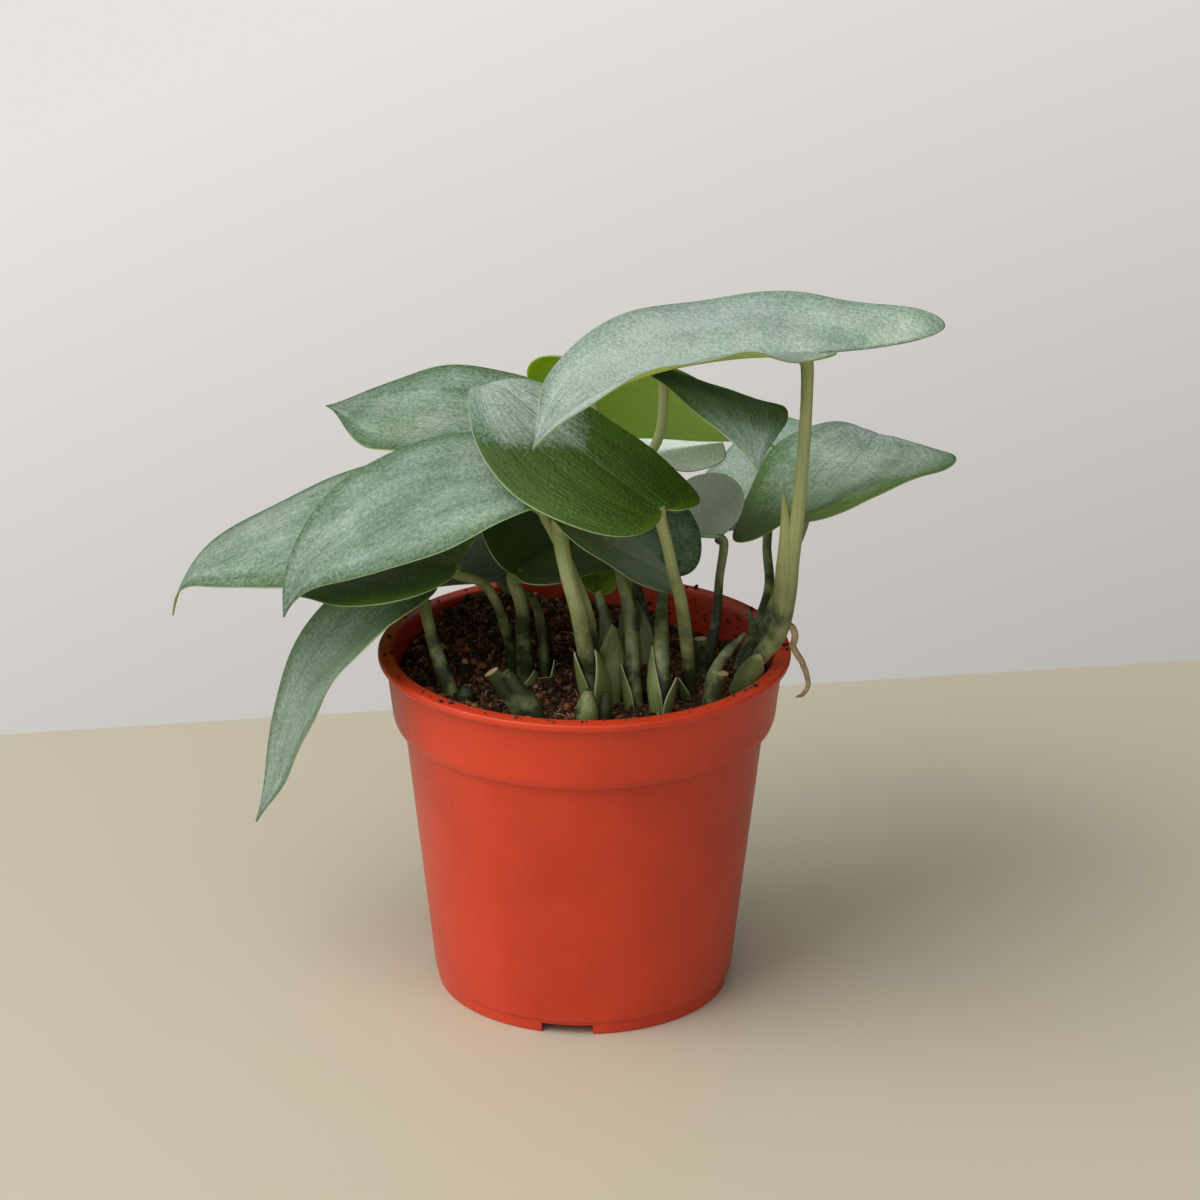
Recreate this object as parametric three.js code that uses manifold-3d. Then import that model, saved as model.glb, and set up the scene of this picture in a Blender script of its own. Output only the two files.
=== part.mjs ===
// A young scindapsus with silver green leaves in a terracotta red nursery pot.
// Millimetres, +Z up, +X to the right and -Y to the front.
// The origin is the middle of the pot's foot, on the surface that it stands on.
import * as THREE from 'three';
import { mergeVertices } from 'three/addons/utils/BufferGeometryUtils.js';
import Module from 'manifold-3d';

const wasm = await Module();
wasm.setup();

// Driving sizes
const CLEAR = 0.3;            // gap left between pieces that touch
const BLADE = 0.8;            // thickness of a leaf
const POT_HEIGHT = 104;
const RIM_RADIUS = 60;        // outside of the lip, a 12 cm nursery pot
const FOOT_RADIUS = 44;
const SOIL_LEVEL = 97;
const ROOT_DEPTH = 14;        // how far a stalk stands in the soil

// Finishes
const plastic = new THREE.MeshStandardMaterial({ color: 0xb8442a, roughness: 0.42 });
const earth = new THREE.MeshStandardMaterial({ color: 0x2f1f18, roughness: 0.95 });
const silver = new THREE.MeshStandardMaterial({ color: 0x93ab95, roughness: 0.55 });
const stalkGreen = new THREE.MeshStandardMaterial({ color: 0x76894e, roughness: 0.5 });
const rootTan = new THREE.MeshStandardMaterial({ color: 0xb59a74, roughness: 0.8 });

const plant = new THREE.Group();
const radians = THREE.MathUtils.degToRad;

function ease(value, from, to) {
  const t = THREE.MathUtils.clamp((value - from) / (to - from), 0, 1);
  return t * t * (3 - 2 * t);
}

// Solids: a closed geometry as a manifold solid, and a solid as a named mesh
function toSolid(geometry) {
  const bare = geometry.index ? geometry.toNonIndexed() : geometry.clone();
  bare.deleteAttribute('normal');
  bare.deleteAttribute('uv');
  const merged = mergeVertices(bare, 1e-4);
  const vertProperties = new Float32Array(merged.attributes.position.array);
  const triVerts = Uint32Array.from(merged.index.array);
  const closed = [];
  for (let k = 0; k < triVerts.length; k += 3) {
    const [a, b, c] = [triVerts[k], triVerts[k + 1], triVerts[k + 2]];
    if (a !== b && b !== c && c !== a) closed.push(a, b, c);
  }
  const build = (corners) => new wasm.Manifold(
    new wasm.Mesh({ numProp: 3, vertProperties, triVerts: Uint32Array.from(corners) }));
  const solid = build(closed);
  if (solid.volume() > 0) return solid;
  const turned = [];
  for (let k = 0; k < closed.length; k += 3) turned.push(closed[k], closed[k + 2], closed[k + 1]);
  return build(turned);
}

function solidFrom(corners) {
  const geometry = new THREE.BufferGeometry();
  geometry.setAttribute('position', new THREE.Float32BufferAttribute(corners, 3));
  return toSolid(geometry);
}

function addPiece(name, solid, material) {
  const { vertProperties, triVerts } = solid.getMesh();
  const geometry = new THREE.BufferGeometry();
  geometry.setAttribute('position', new THREE.BufferAttribute(new Float32Array(vertProperties), 3));
  geometry.setIndex(new THREE.BufferAttribute(new Uint32Array(triVerts), 1));
  geometry.computeVertexNormals();
  const mesh = new THREE.Mesh(geometry, material);
  mesh.name = name;
  plant.add(mesh);
}

function largest(solid) {
  return solid.decompose().reduce((best, piece) => (piece.volume() > best.volume() ? piece : best));
}

// Pot: a thin turned shell with a lip, a collar and a foot ring with notches. The bottom is raised
// between the foot ring and a flat disc in the middle, and has the drain holes there
const COLLAR_FOOT = 82;       // height of the collar's lower edge
const WALL = 1.4;
const FLOOR = 3;              // how far the bottom is raised
const DISC_RADIUS = 20;
const POT_SIDES = 56;
const NOTCHES = 4;
const NOTCH_WIDTH = 15;
const DRAINS = 8;
const DRAIN_RADIUS = 3.5;
const DRAIN_RING = 30;        // from the middle of the pot to the middle of a drain hole
const COLLAR_INSIDE = 80;     // height where the inside starts to widen towards the lip
const insideRadius = (height) => 51.2 + 0.16 * (height - COLLAR_INSIDE);
const potBottom = [[0, 0], [DISC_RADIUS, 0], [DISC_RADIUS + 1, FLOOR], [FOOT_RADIUS - 3, FLOOR]];
const potOutside = [
  [FOOT_RADIUS - 3, 0], [FOOT_RADIUS - 0.8, 0], [FOOT_RADIUS - 0.6, 3.6], [FOOT_RADIUS + 0.3, 4.4],
  [52.6, COLLAR_FOOT], [55, COLLAR_FOOT + 0.6], [55.8, COLLAR_FOOT + 2], [57.8, POT_HEIGHT - 3],
  [RIM_RADIUS, POT_HEIGHT - 2.4], [RIM_RADIUS, POT_HEIGHT - 0.6], [RIM_RADIUS - 0.7, POT_HEIGHT],
];
const potInside = [
  [55.6, POT_HEIGHT], [insideRadius(POT_HEIGHT - 1), POT_HEIGHT - 1],
  [insideRadius(COLLAR_INSIDE), COLLAR_INSIDE], [FOOT_RADIUS - WALL, FLOOR + WALL],
  [DISC_RADIUS - 0.4, FLOOR + WALL], [DISC_RADIUS - WALL, WALL], [0, WALL],
];

function potSolid() {
  const outline = [...potBottom, ...potOutside, ...potInside];
  const profile = outline.map(([radius, height]) => new THREE.Vector2(radius, height));
  const turned = new THREE.LatheGeometry(profile, POT_SIDES);
  let pot = toSolid(turned.rotateX(Math.PI / 2));
  for (let k = 0; k < NOTCHES; k += 1) {
    const notch = new THREE.BoxGeometry(10, NOTCH_WIDTH, 2 * FLOOR);
    notch.translate(FOOT_RADIUS - 1, 0, 0).rotateZ(radians((360 / NOTCHES) * k - 96));
    pot = pot.subtract(toSolid(notch));
  }
  for (let k = 0; k < DRAINS; k += 1) {
    const drain = new THREE.CylinderGeometry(DRAIN_RADIUS, DRAIN_RADIUS, 4 * FLOOR, 10);
    drain.rotateX(Math.PI / 2).translate(DRAIN_RING, 0, 0).rotateZ(radians((360 / DRAINS) * k));
    pot = pot.subtract(toSolid(drain));
  }
  return pot;
}

// Soil: fills the pot inside, heaped at the back left and sunk at the back right
function soilHeight(x, y) {
  const heap = 7 * Math.exp(-((x + 30) ** 2 + (y - 36) ** 2) / 500);
  const dip = -5 * Math.exp(-((x - 32) ** 2 + (y - 34) ** 2) / 600);
  const lumps = 0.7 * Math.sin(0.31 * x + 1) * Math.cos(0.27 * y) + 0.5 * Math.sin(0.55 * y + 0.4 * x);
  return SOIL_LEVEL + heap + dip + lumps;
}

const SOIL_SIDES = 40;
const TOP_RINGS = [12, 24, 36, 46, RIM_RADIUS];

function soilSolid() {
  const corners = [];
  const around = (radius, k) => {
    const angle = (2 * Math.PI * k) / SOIL_SIDES;
    return [radius * Math.cos(angle), radius * Math.sin(angle)];
  };
  const onTop = (radius) => (k) => {
    const height = soilHeight(...around(radius, k));
    return [...around(Math.min(radius, insideRadius(height) - 2 * CLEAR), k), height];
  };
  const inside = (radius, height) => (k) => [...around(radius - 2 * CLEAR, k), height];
  const base = FLOOR + WALL + CLEAR;
  const foot = WALL + CLEAR;
  const rings = [
    ...TOP_RINGS.map(onTop),
    inside(insideRadius(COLLAR_INSIDE), COLLAR_INSIDE), inside(FOOT_RADIUS - WALL, base),
    inside(DISC_RADIUS - 0.4, base), inside(DISC_RADIUS - WALL, foot),
  ];
  const point = (ring, k) => rings[ring](k % SOIL_SIDES);
  for (let k = 0; k < SOIL_SIDES; k += 1) {
    corners.push(0, 0, soilHeight(0, 0), ...point(0, k), ...point(0, k + 1));
    for (let ring = 0; ring + 1 < rings.length; ring += 1) {
      const [a, b, c, d] = [point(ring, k), point(ring + 1, k), point(ring + 1, k + 1), point(ring, k + 1)];
      corners.push(...a, ...b, ...c, ...a, ...c, ...d);
    }
    corners.push(0, 0, foot, ...point(rings.length - 1, k + 1), ...point(rings.length - 1, k));
  }
  return solidFrom(corners);
}

// Leaves: each blade is two halves either side of its midrib, drawn from the point where the stalk
// joins. Heading 0 points to +X and 90 to the back. Rise is the midrib's slope at the stalk, droop how
// far it bends down by the tip and curl a further bend near the tip. Swing turns it sideways by the
// tip. Roll and twist turn the blade about its midrib, right side down. Folds lift the halves, cup
// bends their edges, and flat takes the fold away towards the tip. Lobes, widest and full shape the
// outline, as shares of the length. Each route is the stalk's, from the soil up to the blade, with
// its radius at each point. A sheath is a tube of its own that clings to the stalk, and a shoot one
// that stands in the soil beside it.
const leaves = [
  {
    name: 'crown', joint: [61, -36.5, 204.5], heading: 178, rise: -1, roll: -10, length: 95,
    widthL: 67, widthR: 63, droop: 13, curl: 6, swing: 69, twist: 10,
    foldL: 25, foldR: 8, cup: -2, flat: -0.4, lobeL: 0.08, lobeR: 0.4, widest: 0.24, full: 0.81,
    route: [
      [45.5, -17, 97], [49.5, -18, 106.5], [55, -19.5, 116], [57.5, -22, 127], [58.5, -25, 140],
      [59.5, -28, 153.5], [60.5, -31, 172], [61, -34, 190.5],
    ],
    radii: [3, 2.2, 2.8, 2.3, 2, 1.9, 1.7, 1.6],
    sheaths: [{
      route: [
        [55.5, -21.5, 119], [56, -22.5, 128], [56.5, -24.5, 138], [56.5, -26.5, 151], [55.5, -28, 161.5],
      ],
      radii: [1.2, 2.6, 2.4, 1.6, 0.4],
    }],
  },
  {
    name: 'folded', joint: [23, -14, 193], heading: -62, rise: 7, roll: -15, length: 74,
    widthL: 56, widthR: 45, droop: 29, curl: 0, swing: -19, twist: 10,
    foldL: -13, foldR: 8, cup: 5, flat: 0.4, lobeL: 0.15, lobeR: 0.12, widest: 0.13, full: 0.82,
    route: [
      [14.5, -29, 97], [14, -27, 108], [13, -20.5, 120.5], [10.5, -13, 131], [6.5, -2.5, 143.5],
      [9, -1, 153], [17, -8.5, 164], [21, -12.5, 173], [22, -14, 183.5],
    ],
    radii: [2.4, 2.1, 1.8, 1.6, 1.5, 1.4, 1.4, 1.4, 1.3],
  },
  {
    name: 'arched', joint: [-2, 7.5, 188.5], heading: 24, rise: -31, roll: -43, length: 72,
    widthL: 49, widthR: 43, droop: -6, curl: 2, swing: 0, twist: 4,
    foldL: 8, foldR: 2, cup: -24, flat: 0.4, lobeL: 0.12, lobeR: 0.08, widest: 0.27, full: 0.83,
    route: [[15, 9, 96], [14, 4, 112.5], [13, 2, 124.5], [10.5, 2, 140.5], [8, 3, 151.5], [4.5, 5, 166]],
    radii: [1.6, 1.4, 1.3, 1.3, 1.3, 1.2],
  },
  {
    name: 'centre', joint: [21, -45, 162.5], heading: 143, rise: 21, roll: -4, length: 80,
    widthL: 59, widthR: 47, droop: 2, curl: 67, swing: -13, twist: -1,
    foldL: 8, foldR: 3, cup: -24, flat: 0.4, lobeL: 0.06, lobeR: 0.06, widest: 0.31, full: 0.89,
    route: [[30.5, -21, 96.5], [29.5, -24, 111], [27, -31, 131], [25, -35, 139.5], [23, -40, 150]],
    radii: [2, 1.9, 1.7, 1.6, 1.5],
  },
  {
    name: 'near_left', joint: [-16.5, -26.5, 167], heading: 179, rise: -8, roll: -5, length: 86,
    widthL: 59, widthR: 56, droop: 50, curl: 21, swing: 9, twist: -28,
    foldL: 6, foldR: 9, cup: -18, flat: 0.4, lobeL: 0.15, lobeR: 0.16, widest: 0.23, full: 0.86,
    route: [
      [3.5, -22.5, 97], [2.4, -28.5, 117], [0.4, -32, 129], [-2.6, -32.5, 137], [-6.5, -30, 145.5],
      [-11.5, -25.5, 154],
    ],
    radii: [1.9, 1.7, 1.5, 1.5, 1.5, 1.5],
  },
  {
    name: 'high_left', joint: [-19.5, 23.5, 164], heading: 151, rise: 0, roll: -3, length: 76,
    widthL: 51, widthR: 51, droop: 19, curl: -6, swing: -17, twist: -27,
    foldL: 0, foldR: 6, cup: -2, flat: 0.1, lobeL: 0.13, lobeR: 0.16, widest: 0.27, full: 0.82,
    route: [[10, 6, 96], [12.5, 14, 114], [11.5, 18.5, 126], [5.5, 21, 137.5], [-7.5, 23, 152.5]],
    radii: [1.6, 1.5, 1.4, 1.4, 1.3],
  },
  {
    name: 'under', joint: [-36.5, -23, 137.5], heading: 127, rise: -15, roll: -27, length: 90,
    widthL: 63, widthR: 65, droop: 16, curl: 12, swing: 4, twist: 21,
    foldL: 12, foldR: 33, cup: 4, flat: 0.3, lobeL: 0.11, lobeR: 0.07, widest: 0.24, full: 0.82,
    route: [[-20.5, -4.5, 97], [-22, -6, 108], [-25, -10, 120.5], [-29, -15, 129]],
    radii: [1.8, 1.5, 1.4, 1.3],
  },
  {
    name: 'hanging', joint: [-47, -12.5, 125.5], heading: 161, rise: -34, roll: -20, length: 91,
    widthL: 62, widthR: 55, droop: 58, curl: -26, swing: 43, twist: 17,
    foldL: 13, foldR: 4, cup: 9, flat: 1, lobeL: 0.12, lobeR: 0.13, widest: 0.23, full: 0.85,
    route: [[-38, -22.5, 97], [-41.5, -21, 108], [-44, -18, 116]],
    radii: [2.4, 2, 1.6],
  },
  {
    name: 'far_left', joint: [-43, -0.5, 155.5], heading: 180, rise: -17, roll: -4, length: 95,
    widthL: 64, widthR: 64, droop: 18, curl: 45, swing: -15, twist: -4,
    foldL: 0, foldR: 12, cup: -30, flat: 0.4, lobeL: 0.1, lobeR: 0.07, widest: 0.28, full: 0.84,
    route: [
      [0, -19.5, 97], [0.3, -23.8, 115], [-0.8, -27.8, 128], [-2.5, -28.6, 134.5], [-5.5, -26, 142],
      [-10, -20.5, 150.5], [-17.5, -21.5, 156], [-26, -24, 156], [-33.5, -19, 154.5], [-39, -7.5, 153.2],
    ],
    radii: [1.5, 1.4, 1.2, 1.2, 1.2, 1.3, 1.3, 1.3, 1.2, 1.2],
  },
  {
    name: 'tongue', joint: [-6.5, -33, 155.5], heading: 40, rise: -35, roll: 32, length: 60,
    widthL: 37, widthR: 44, droop: -4, curl: 21, swing: 7, twist: -2,
    foldL: 10, foldR: 13, cup: -3, flat: 0, lobeL: 0.18, lobeR: 0.12, widest: 0.32, full: 0.82,
    route: [[3.5, -30, 97], [0.3, -35, 117], [-1.7, -37, 129], [-5, -37, 141.5]],
    radii: [2.7, 2.3, 2.2, 2],
    shoots: [{
      route: [[7.5, -27, 97], [8, -22.5, 109], [6.4, -18, 118], [4, -14.5, 126.5]], radii: [2.2, 2.6, 1.6, 1],
    }],
  },
  {
    name: 'low', joint: [-19.5, -17, 132.5], heading: 75, rise: -7, roll: 24, length: 73,
    widthL: 50, widthR: 50, droop: 11, curl: 17, swing: -4, twist: 7,
    foldL: 31, foldR: 25, cup: 9, flat: 0.2, lobeL: 0.13, lobeR: 0.15, widest: 0.27, full: 0.83,
    route: [[-17, -10, 96], [-17.5, -11, 110], [-18, -13, 121.5]],
    radii: [2.3, 2.2, 1.8],
  },
  {
    name: 'dark', joint: [-24, 9, 121.5], heading: 153, rise: -12, roll: -6, length: 61,
    widthL: 42, widthR: 42, droop: 13, curl: 7, swing: -18, twist: 1,
    foldL: 21, foldR: 24, cup: -7, flat: 0.1, lobeL: 0.08, lobeR: 0.16, widest: 0.24, full: 0.87,
    route: [[-11.5, -8, 96], [-12.5, -4, 111], [-15, 2, 117.5]],
    radii: [1.5, 1.4, 1.2],
  },
  {
    name: 'grey', joint: [23.5, 3.5, 126.5], heading: 96, rise: 32, roll: -5, length: 37,
    widthL: 21, widthR: 23, droop: 17, curl: 10, swing: 0, twist: -5,
    foldL: 11, foldR: 14, cup: -2, flat: 0.1, lobeL: 0.14, lobeR: 0.1, widest: 0.23, full: 0.85,
    route: [
      [22, -33, 97], [22, -32, 106], [22, -26.5, 115], [22, -19, 118.5], [22.5, -5, 120], [23, 1, 121.5],
    ],
    radii: [2.3, 2.4, 2.1, 1.8, 1.5, 1.4],
  },
  {
    name: 'round', joint: [39.5, 23.5, 129.5], heading: 119, rise: -14, roll: -19, length: 60,
    widthL: 40, widthR: 39, droop: 3, curl: 12, swing: -1, twist: -4,
    foldL: 27, foldR: 34, cup: 12, flat: 0.1, lobeL: 0.13, lobeR: 0.1, widest: 0.26, full: 0.87,
    route: [[36.5, 9, 95], [38.5, 13, 107], [39.5, 19, 118]],
    radii: [1.6, 1.4, 1.2], neck: 1.8,
  },
  {
    name: 'pale', joint: [23, 19, 152.5], heading: 108, rise: -3, roll: 0, length: 69,
    widthL: 46, widthR: 44, droop: 15, curl: 21, swing: 1, twist: -3,
    foldL: 7, foldR: 11, cup: -6, flat: 0.4, lobeL: 0.18, lobeR: 0.16, widest: 0.26, full: 0.85,
    route: [[19, 3, 96], [17.5, 8.5, 109.5], [12.5, 14.5, 125.5], [11, 17, 135], [13.5, 18.5, 142]],
    radii: [1.7, 1.6, 1.4, 1.3, 1.3],
  },
  {
    name: 'back', joint: [54, 66, 124.5], heading: 90, rise: 11, roll: -26, length: 66,
    widthL: 43, widthR: 43, droop: 16, curl: -2, swing: 3, twist: -10,
    foldL: 13, foldR: 12, cup: -5, flat: 0.3, lobeL: 0.18, lobeR: 0.14, widest: 0.22, full: 0.84,
    route: [[45, 1, 97], [48.5, 7, 104], [52, 14, 109], [54.5, 26, 113], [54.5, 46, 117.5]],
    radii: [1.6, 1.5, 1.5, 1.4, 1.3],
  },
  {
    name: 'right', joint: [63.5, 28, 135.5], heading: 56, rise: 11, roll: -20, length: 88,
    widthL: 55, widthR: 64, droop: 26, curl: 27, swing: 29, twist: 39,
    foldL: 3, foldR: 3, cup: -1, flat: 0.2, lobeL: 0.19, lobeR: 0.11, widest: 0.35, full: 0.88,
    route: [[46, -5.5, 97], [51, 1, 107], [56, 11, 115], [61, 22, 125]],
    radii: [1.8, 1.7, 1.6, 1.4],
  },
  {
    name: 'young', joint: [4, 3.5, 119.5], heading: 94, rise: 9, roll: 2, length: 21,
    widthL: 14, widthR: 14, droop: 14, curl: 23, swing: 1, twist: -4,
    foldL: 28, foldR: 22, cup: 5, flat: 0.2, lobeL: 0.12, lobeR: 0.15, widest: 0.24, full: 0.84,
    route: [[5.5, 1, 96], [5.5, 2, 105], [5, 3, 113]],
    radii: [1.3, 1.1, 0.9],
  },
];
const MIDRIB_STEPS = 40;
const OUTLINE_STEPS = [3, 3, 5];
const ACROSS = 2;             // bands from the midrib to the edge

function bezier([a, b, c, d], t) {
  const s = 1 - t;
  return [0, 1].map((k) => s ** 3 * a[k] + 3 * s * s * t * b[k] + 3 * s * t * t * c[k] + t ** 3 * d[k]);
}

// The edge of one half, from the stalk round the lobe to the tip: along the midrib, and outwards
function halfOutline(lobe, widest, full) {
  const spans = [
    [[0, 0], [-lobe / 2, 0.1], [-lobe, 0.16], [-lobe, 0.42]],
    [[-lobe, 0.42], [-lobe, 0.78], [widest - 0.2, 1], [widest, 1]],
    [[widest, 1], [widest + 0.36, 1], [full, 0.1], [1, 0]],
  ];
  const points = [[0, 0]];
  spans.forEach((span, k) => {
    const steps = OUTLINE_STEPS[k];
    for (let step = 1; step <= steps; step += 1) points.push(bezier(span, step / steps));
  });
  return points;
}

// Where the midrib runs, and which way it, the right half and the upper face point along it
function midribFrames(leaf) {
  const frames = [];
  const place = new THREE.Vector3(...leaf.joint);
  for (let step = 0; step <= MIDRIB_STEPS; step += 1) {
    const s = step / MIDRIB_STEPS;
    const pitch = radians(leaf.rise - leaf.droop * s ** 1.3 - leaf.curl * ease(s, 0.72, 1));
    const turn = radians(leaf.heading + leaf.swing * s);
    const roll = radians(leaf.roll + leaf.twist * s);
    const along = new THREE.Vector3(
      Math.cos(pitch) * Math.cos(turn), Math.cos(pitch) * Math.sin(turn), Math.sin(pitch));
    const level = new THREE.Vector3(Math.sin(turn), -Math.cos(turn), 0);
    const right = level.clone().applyAxisAngle(along, roll);
    const up = new THREE.Vector3().crossVectors(right, along);
    if (step > 0) {
      const stride = along.clone().add(frames.at(-1).along).multiplyScalar(leaf.length / MIDRIB_STEPS / 2);
      place.add(stride);
    }
    frames.push({ place: place.clone(), along, right, up });
  }
  return frames;
}

// A point of the blade: x along the midrib and y outwards, from the nearest frames
function onBlade(leaf, frames, side, x, y, halfWidth, fold) {
  const s = THREE.MathUtils.clamp(x / leaf.length, 0, 1);
  const at = s * MIDRIB_STEPS;
  const k = Math.min(Math.floor(at), MIDRIB_STEPS - 1);
  const mix = (key) => frames[k][key].clone().lerp(frames[k + 1][key], at - k);
  const lift = radians(fold * (1 - leaf.flat * s)) + radians(leaf.cup) * (y / halfWidth) * 0.5;
  return mix('place')
    .addScaledVector(mix('along'), Math.min(x, 0))
    .addScaledVector(mix('right'), side * y * Math.cos(lift))
    .addScaledVector(mix('up'), y * Math.sin(lift));
}

// The blade's middle surface as triangles, split alike whichever face they end up on
function bladeSheet(leaf) {
  const frames = midribFrames(leaf);
  const triangles = [];
  for (const side of [-1, 1]) {
    const halfWidth = (side < 0 ? leaf.widthL : leaf.widthR) / 2;
    const fold = side < 0 ? leaf.foldL : leaf.foldR;
    const edge = halfOutline(side < 0 ? leaf.lobeL : leaf.lobeR, leaf.widest, leaf.full);
    const last = edge.length - 1;
    const fan = OUTLINE_STEPS[0] + OUTLINE_STEPS[1] / 2;
    const point = (step, band) => {
      const root = THREE.MathUtils.clamp((step - fan) / (last - fan), 0, 1) ** 1.15;
      const share = band / ACROSS;
      const x = (root * (1 - share) + edge[step][0] * share) * leaf.length;
      return onBlade(leaf, frames, side, x, edge[step][1] * share * halfWidth, halfWidth, fold);
    };
    for (let step = 0; step < last; step += 1) {
      for (let band = 0; band < ACROSS; band += 1) {
        const [a, b] = [point(step, band), point(step + 1, band)];
        const [c, d] = [point(step + 1, band + 1), point(step, band + 1)];
        if (side > 0) triangles.push([a, c, b], [a, d, c]);
        else triangles.push([a, b, c], [a, c, d]);
      }
    }
  }
  return triangles;
}

// A sheet of triangles as a closed solid: both faces, and a rim along its edge
function thicken(triangles, thickness) {
  const places = [];
  const lookup = new Map();
  const indexOf = (point) => {
    const key = point.toArray().map((value) => Math.round(value * 1e3)).join();
    if (!lookup.has(key)) {
      lookup.set(key, places.length);
      places.push({ point, normal: new THREE.Vector3() });
    }
    return lookup.get(key);
  };
  const faces = triangles.map((corners) => corners.map(indexOf))
    .filter(([a, b, c]) => a !== b && b !== c && c !== a);
  const edges = new Map();
  for (const [a, b, c] of faces) {
    const ab = places[b].point.clone().sub(places[a].point);
    const ac = places[c].point.clone().sub(places[a].point);
    const normal = ab.cross(ac).normalize();
    for (const corner of [a, b, c]) places[corner].normal.add(normal);
    for (const [from, to] of [[a, b], [b, c], [c, a]]) edges.set(`${from},${to}`, [from, to]);
  }
  const corners = [];
  const face = (index, side) => {
    const { point, normal } = places[index];
    return point.clone().addScaledVector(normal.clone().normalize(), (side * thickness) / 2).toArray();
  };
  for (const [a, b, c] of faces) {
    corners.push(...face(a, 1), ...face(b, 1), ...face(c, 1));
    corners.push(...face(a, -1), ...face(c, -1), ...face(b, -1));
  }
  for (const [from, to] of edges.values()) {
    if (edges.has(`${to},${from}`)) continue;
    corners.push(...face(from, 1), ...face(from, -1), ...face(to, -1));
    corners.push(...face(from, 1), ...face(to, -1), ...face(to, 1));
  }
  return solidFrom(corners);
}

const TUBE_STEPS = 2;         // rings from one point of a tube's route to the next
const TUBE_SIDES = 7;

// Stalks: a round tube along a smooth line of points, with a radius at each point and closed ends
function tube(points, radii, grow = 0) {
  const knots = points.map((point) => new THREE.Vector3(...point));
  const line = new THREE.CatmullRomCurve3(knots, false, 'centripetal');
  const steps = (points.length - 1) * TUBE_STEPS;
  const { normals, binormals } = line.computeFrenetFrames(steps, false);
  const rings = [];
  for (let step = 0; step <= steps; step += 1) {
    const spot = step / TUBE_STEPS;
    const k = Math.min(Math.floor(spot), points.length - 2);
    const radius = THREE.MathUtils.lerp(radii[k], radii[k + 1], spot - k) + grow;
    const centre = line.getPoint(step / steps);
    rings.push(Array.from({ length: TUBE_SIDES }, (_, side) => {
      const angle = (2 * Math.PI * side) / TUBE_SIDES;
      return centre.clone()
        .addScaledVector(normals[step], radius * Math.cos(angle))
        .addScaledVector(binormals[step], radius * Math.sin(angle)).toArray();
    }));
  }
  const corners = [];
  for (let side = 0; side < TUBE_SIDES; side += 1) {
    const next = (side + 1) % TUBE_SIDES;
    for (let step = 0; step < steps; step += 1) {
      const [lower, upper] = [rings[step], rings[step + 1]];
      corners.push(...lower[side], ...lower[next], ...upper[next]);
      corners.push(...lower[side], ...upper[next], ...upper[side]);
    }
    if (side > 0 && side < TUBE_SIDES - 1) {
      corners.push(...rings[0][0], ...rings[0][next], ...rings[0][side]);
      corners.push(...rings[steps][0], ...rings[steps][side], ...rings[steps][next]);
    }
  }
  return solidFrom(corners);
}

// What stands in the soil is made of tubes that start ROOT_DEPTH under the surface, nearly upright
// there and thinner, and the soil gets a hole of the same shape, a little wider
const ROOT_LEAN = 0.4;
const ROOT_TAPER = 0.8;
const holes = [];

function rooted({ route, radii }, grow) {
  const [[x, y, z], [nextX, nextY, nextZ]] = route;
  const lean = (ROOT_LEAN * (ROOT_DEPTH + grow)) / (nextZ - z);
  const end = [x - (nextX - x) * lean, y - (nextY - y) * lean, z - ROOT_DEPTH - grow];
  return tube([end, ...route], [radii[0] * ROOT_TAPER, ...radii], grow);
}

function standInSoil(name, stems, sheaths = [], blade = null) {
  const tubes = [
    ...stems.map((stem) => rooted(stem, 0)), ...sheaths.map(({ route, radii }) => tube(route, radii)),
  ];
  const joined = tubes.reduce((solid, next) => solid.add(next));
  addPiece(name, blade ? largest(joined.subtract(blade)) : joined, stalkGreen);
  holes.push(...stems.map((stem) => rooted(stem, CLEAR)));
}

// A stalk ends under its blade, just ahead of the notch, and comes up to it from beneath
const NECK = 3.2;             // how far under the blade most stalks turn up to it
const SEAT = 1.5;             // from the notch to where it ends

function stalkTo(leaf) {
  const { place, along, up } = midribFrames(leaf)[0];
  const reach = new THREE.Vector3(...leaf.route.at(-1)).sub(place).dot(along);
  const neck = place.clone().addScaledVector(up, -(leaf.neck ?? NECK))
    .addScaledVector(along, THREE.MathUtils.clamp(reach, -1, 3));
  const seat = place.clone().addScaledVector(along, SEAT);
  const radius = leaf.radii.at(-1);
  return {
    route: [...leaf.route, neck.toArray(), seat.toArray()],
    radii: [...leaf.radii, radius * 1.05, radius * 0.85],
  };
}

// Scales, buds and old stubs at the feet of the shoots
const frontStub = {
  route: [[-18, -36.5, 98], [-22.5, -36.5, 105], [-26, -36.5, 110.5]], radii: [2.2, 2, 2],
};
const frontStubTwin = {
  route: [[-14, -36.5, 97], [-18, -36.5, 104], [-22, -36.5, 110.5]], radii: [3.2, 2.6, 1.4],
};
const leftStub = {
  route: [[-33.5, -26, 97], [-33.5, -26, 99.5], [-33.5, -26, 101.5]], radii: [2.3, 2.3, 1.4],
};
const backStub = { route: [[34, -6.5, 97], [34, -6.5, 103], [33.5, -6.5, 109]], radii: [2, 1.9, 1.8] };
const rightStub = { route: [[36.5, -30, 97], [37.5, -30, 103], [38.5, -30, 108]], radii: [2.8, 2.6, 2.4] };
const rightScale = {
  route: [[35, -28.5, 98], [36.5, -28, 106], [40.5, -27.5, 113], [45.5, -27.5, 119]],
  radii: [1.4, 1.7, 1.5, 0.4],
};
const crownScale = {
  route: [[48, -10.5, 97], [49.5, -11, 106], [48.5, -11.5, 113.5], [47, -11.5, 120]],
  radii: [2.2, 2, 1.4, 0.4],
};
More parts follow.
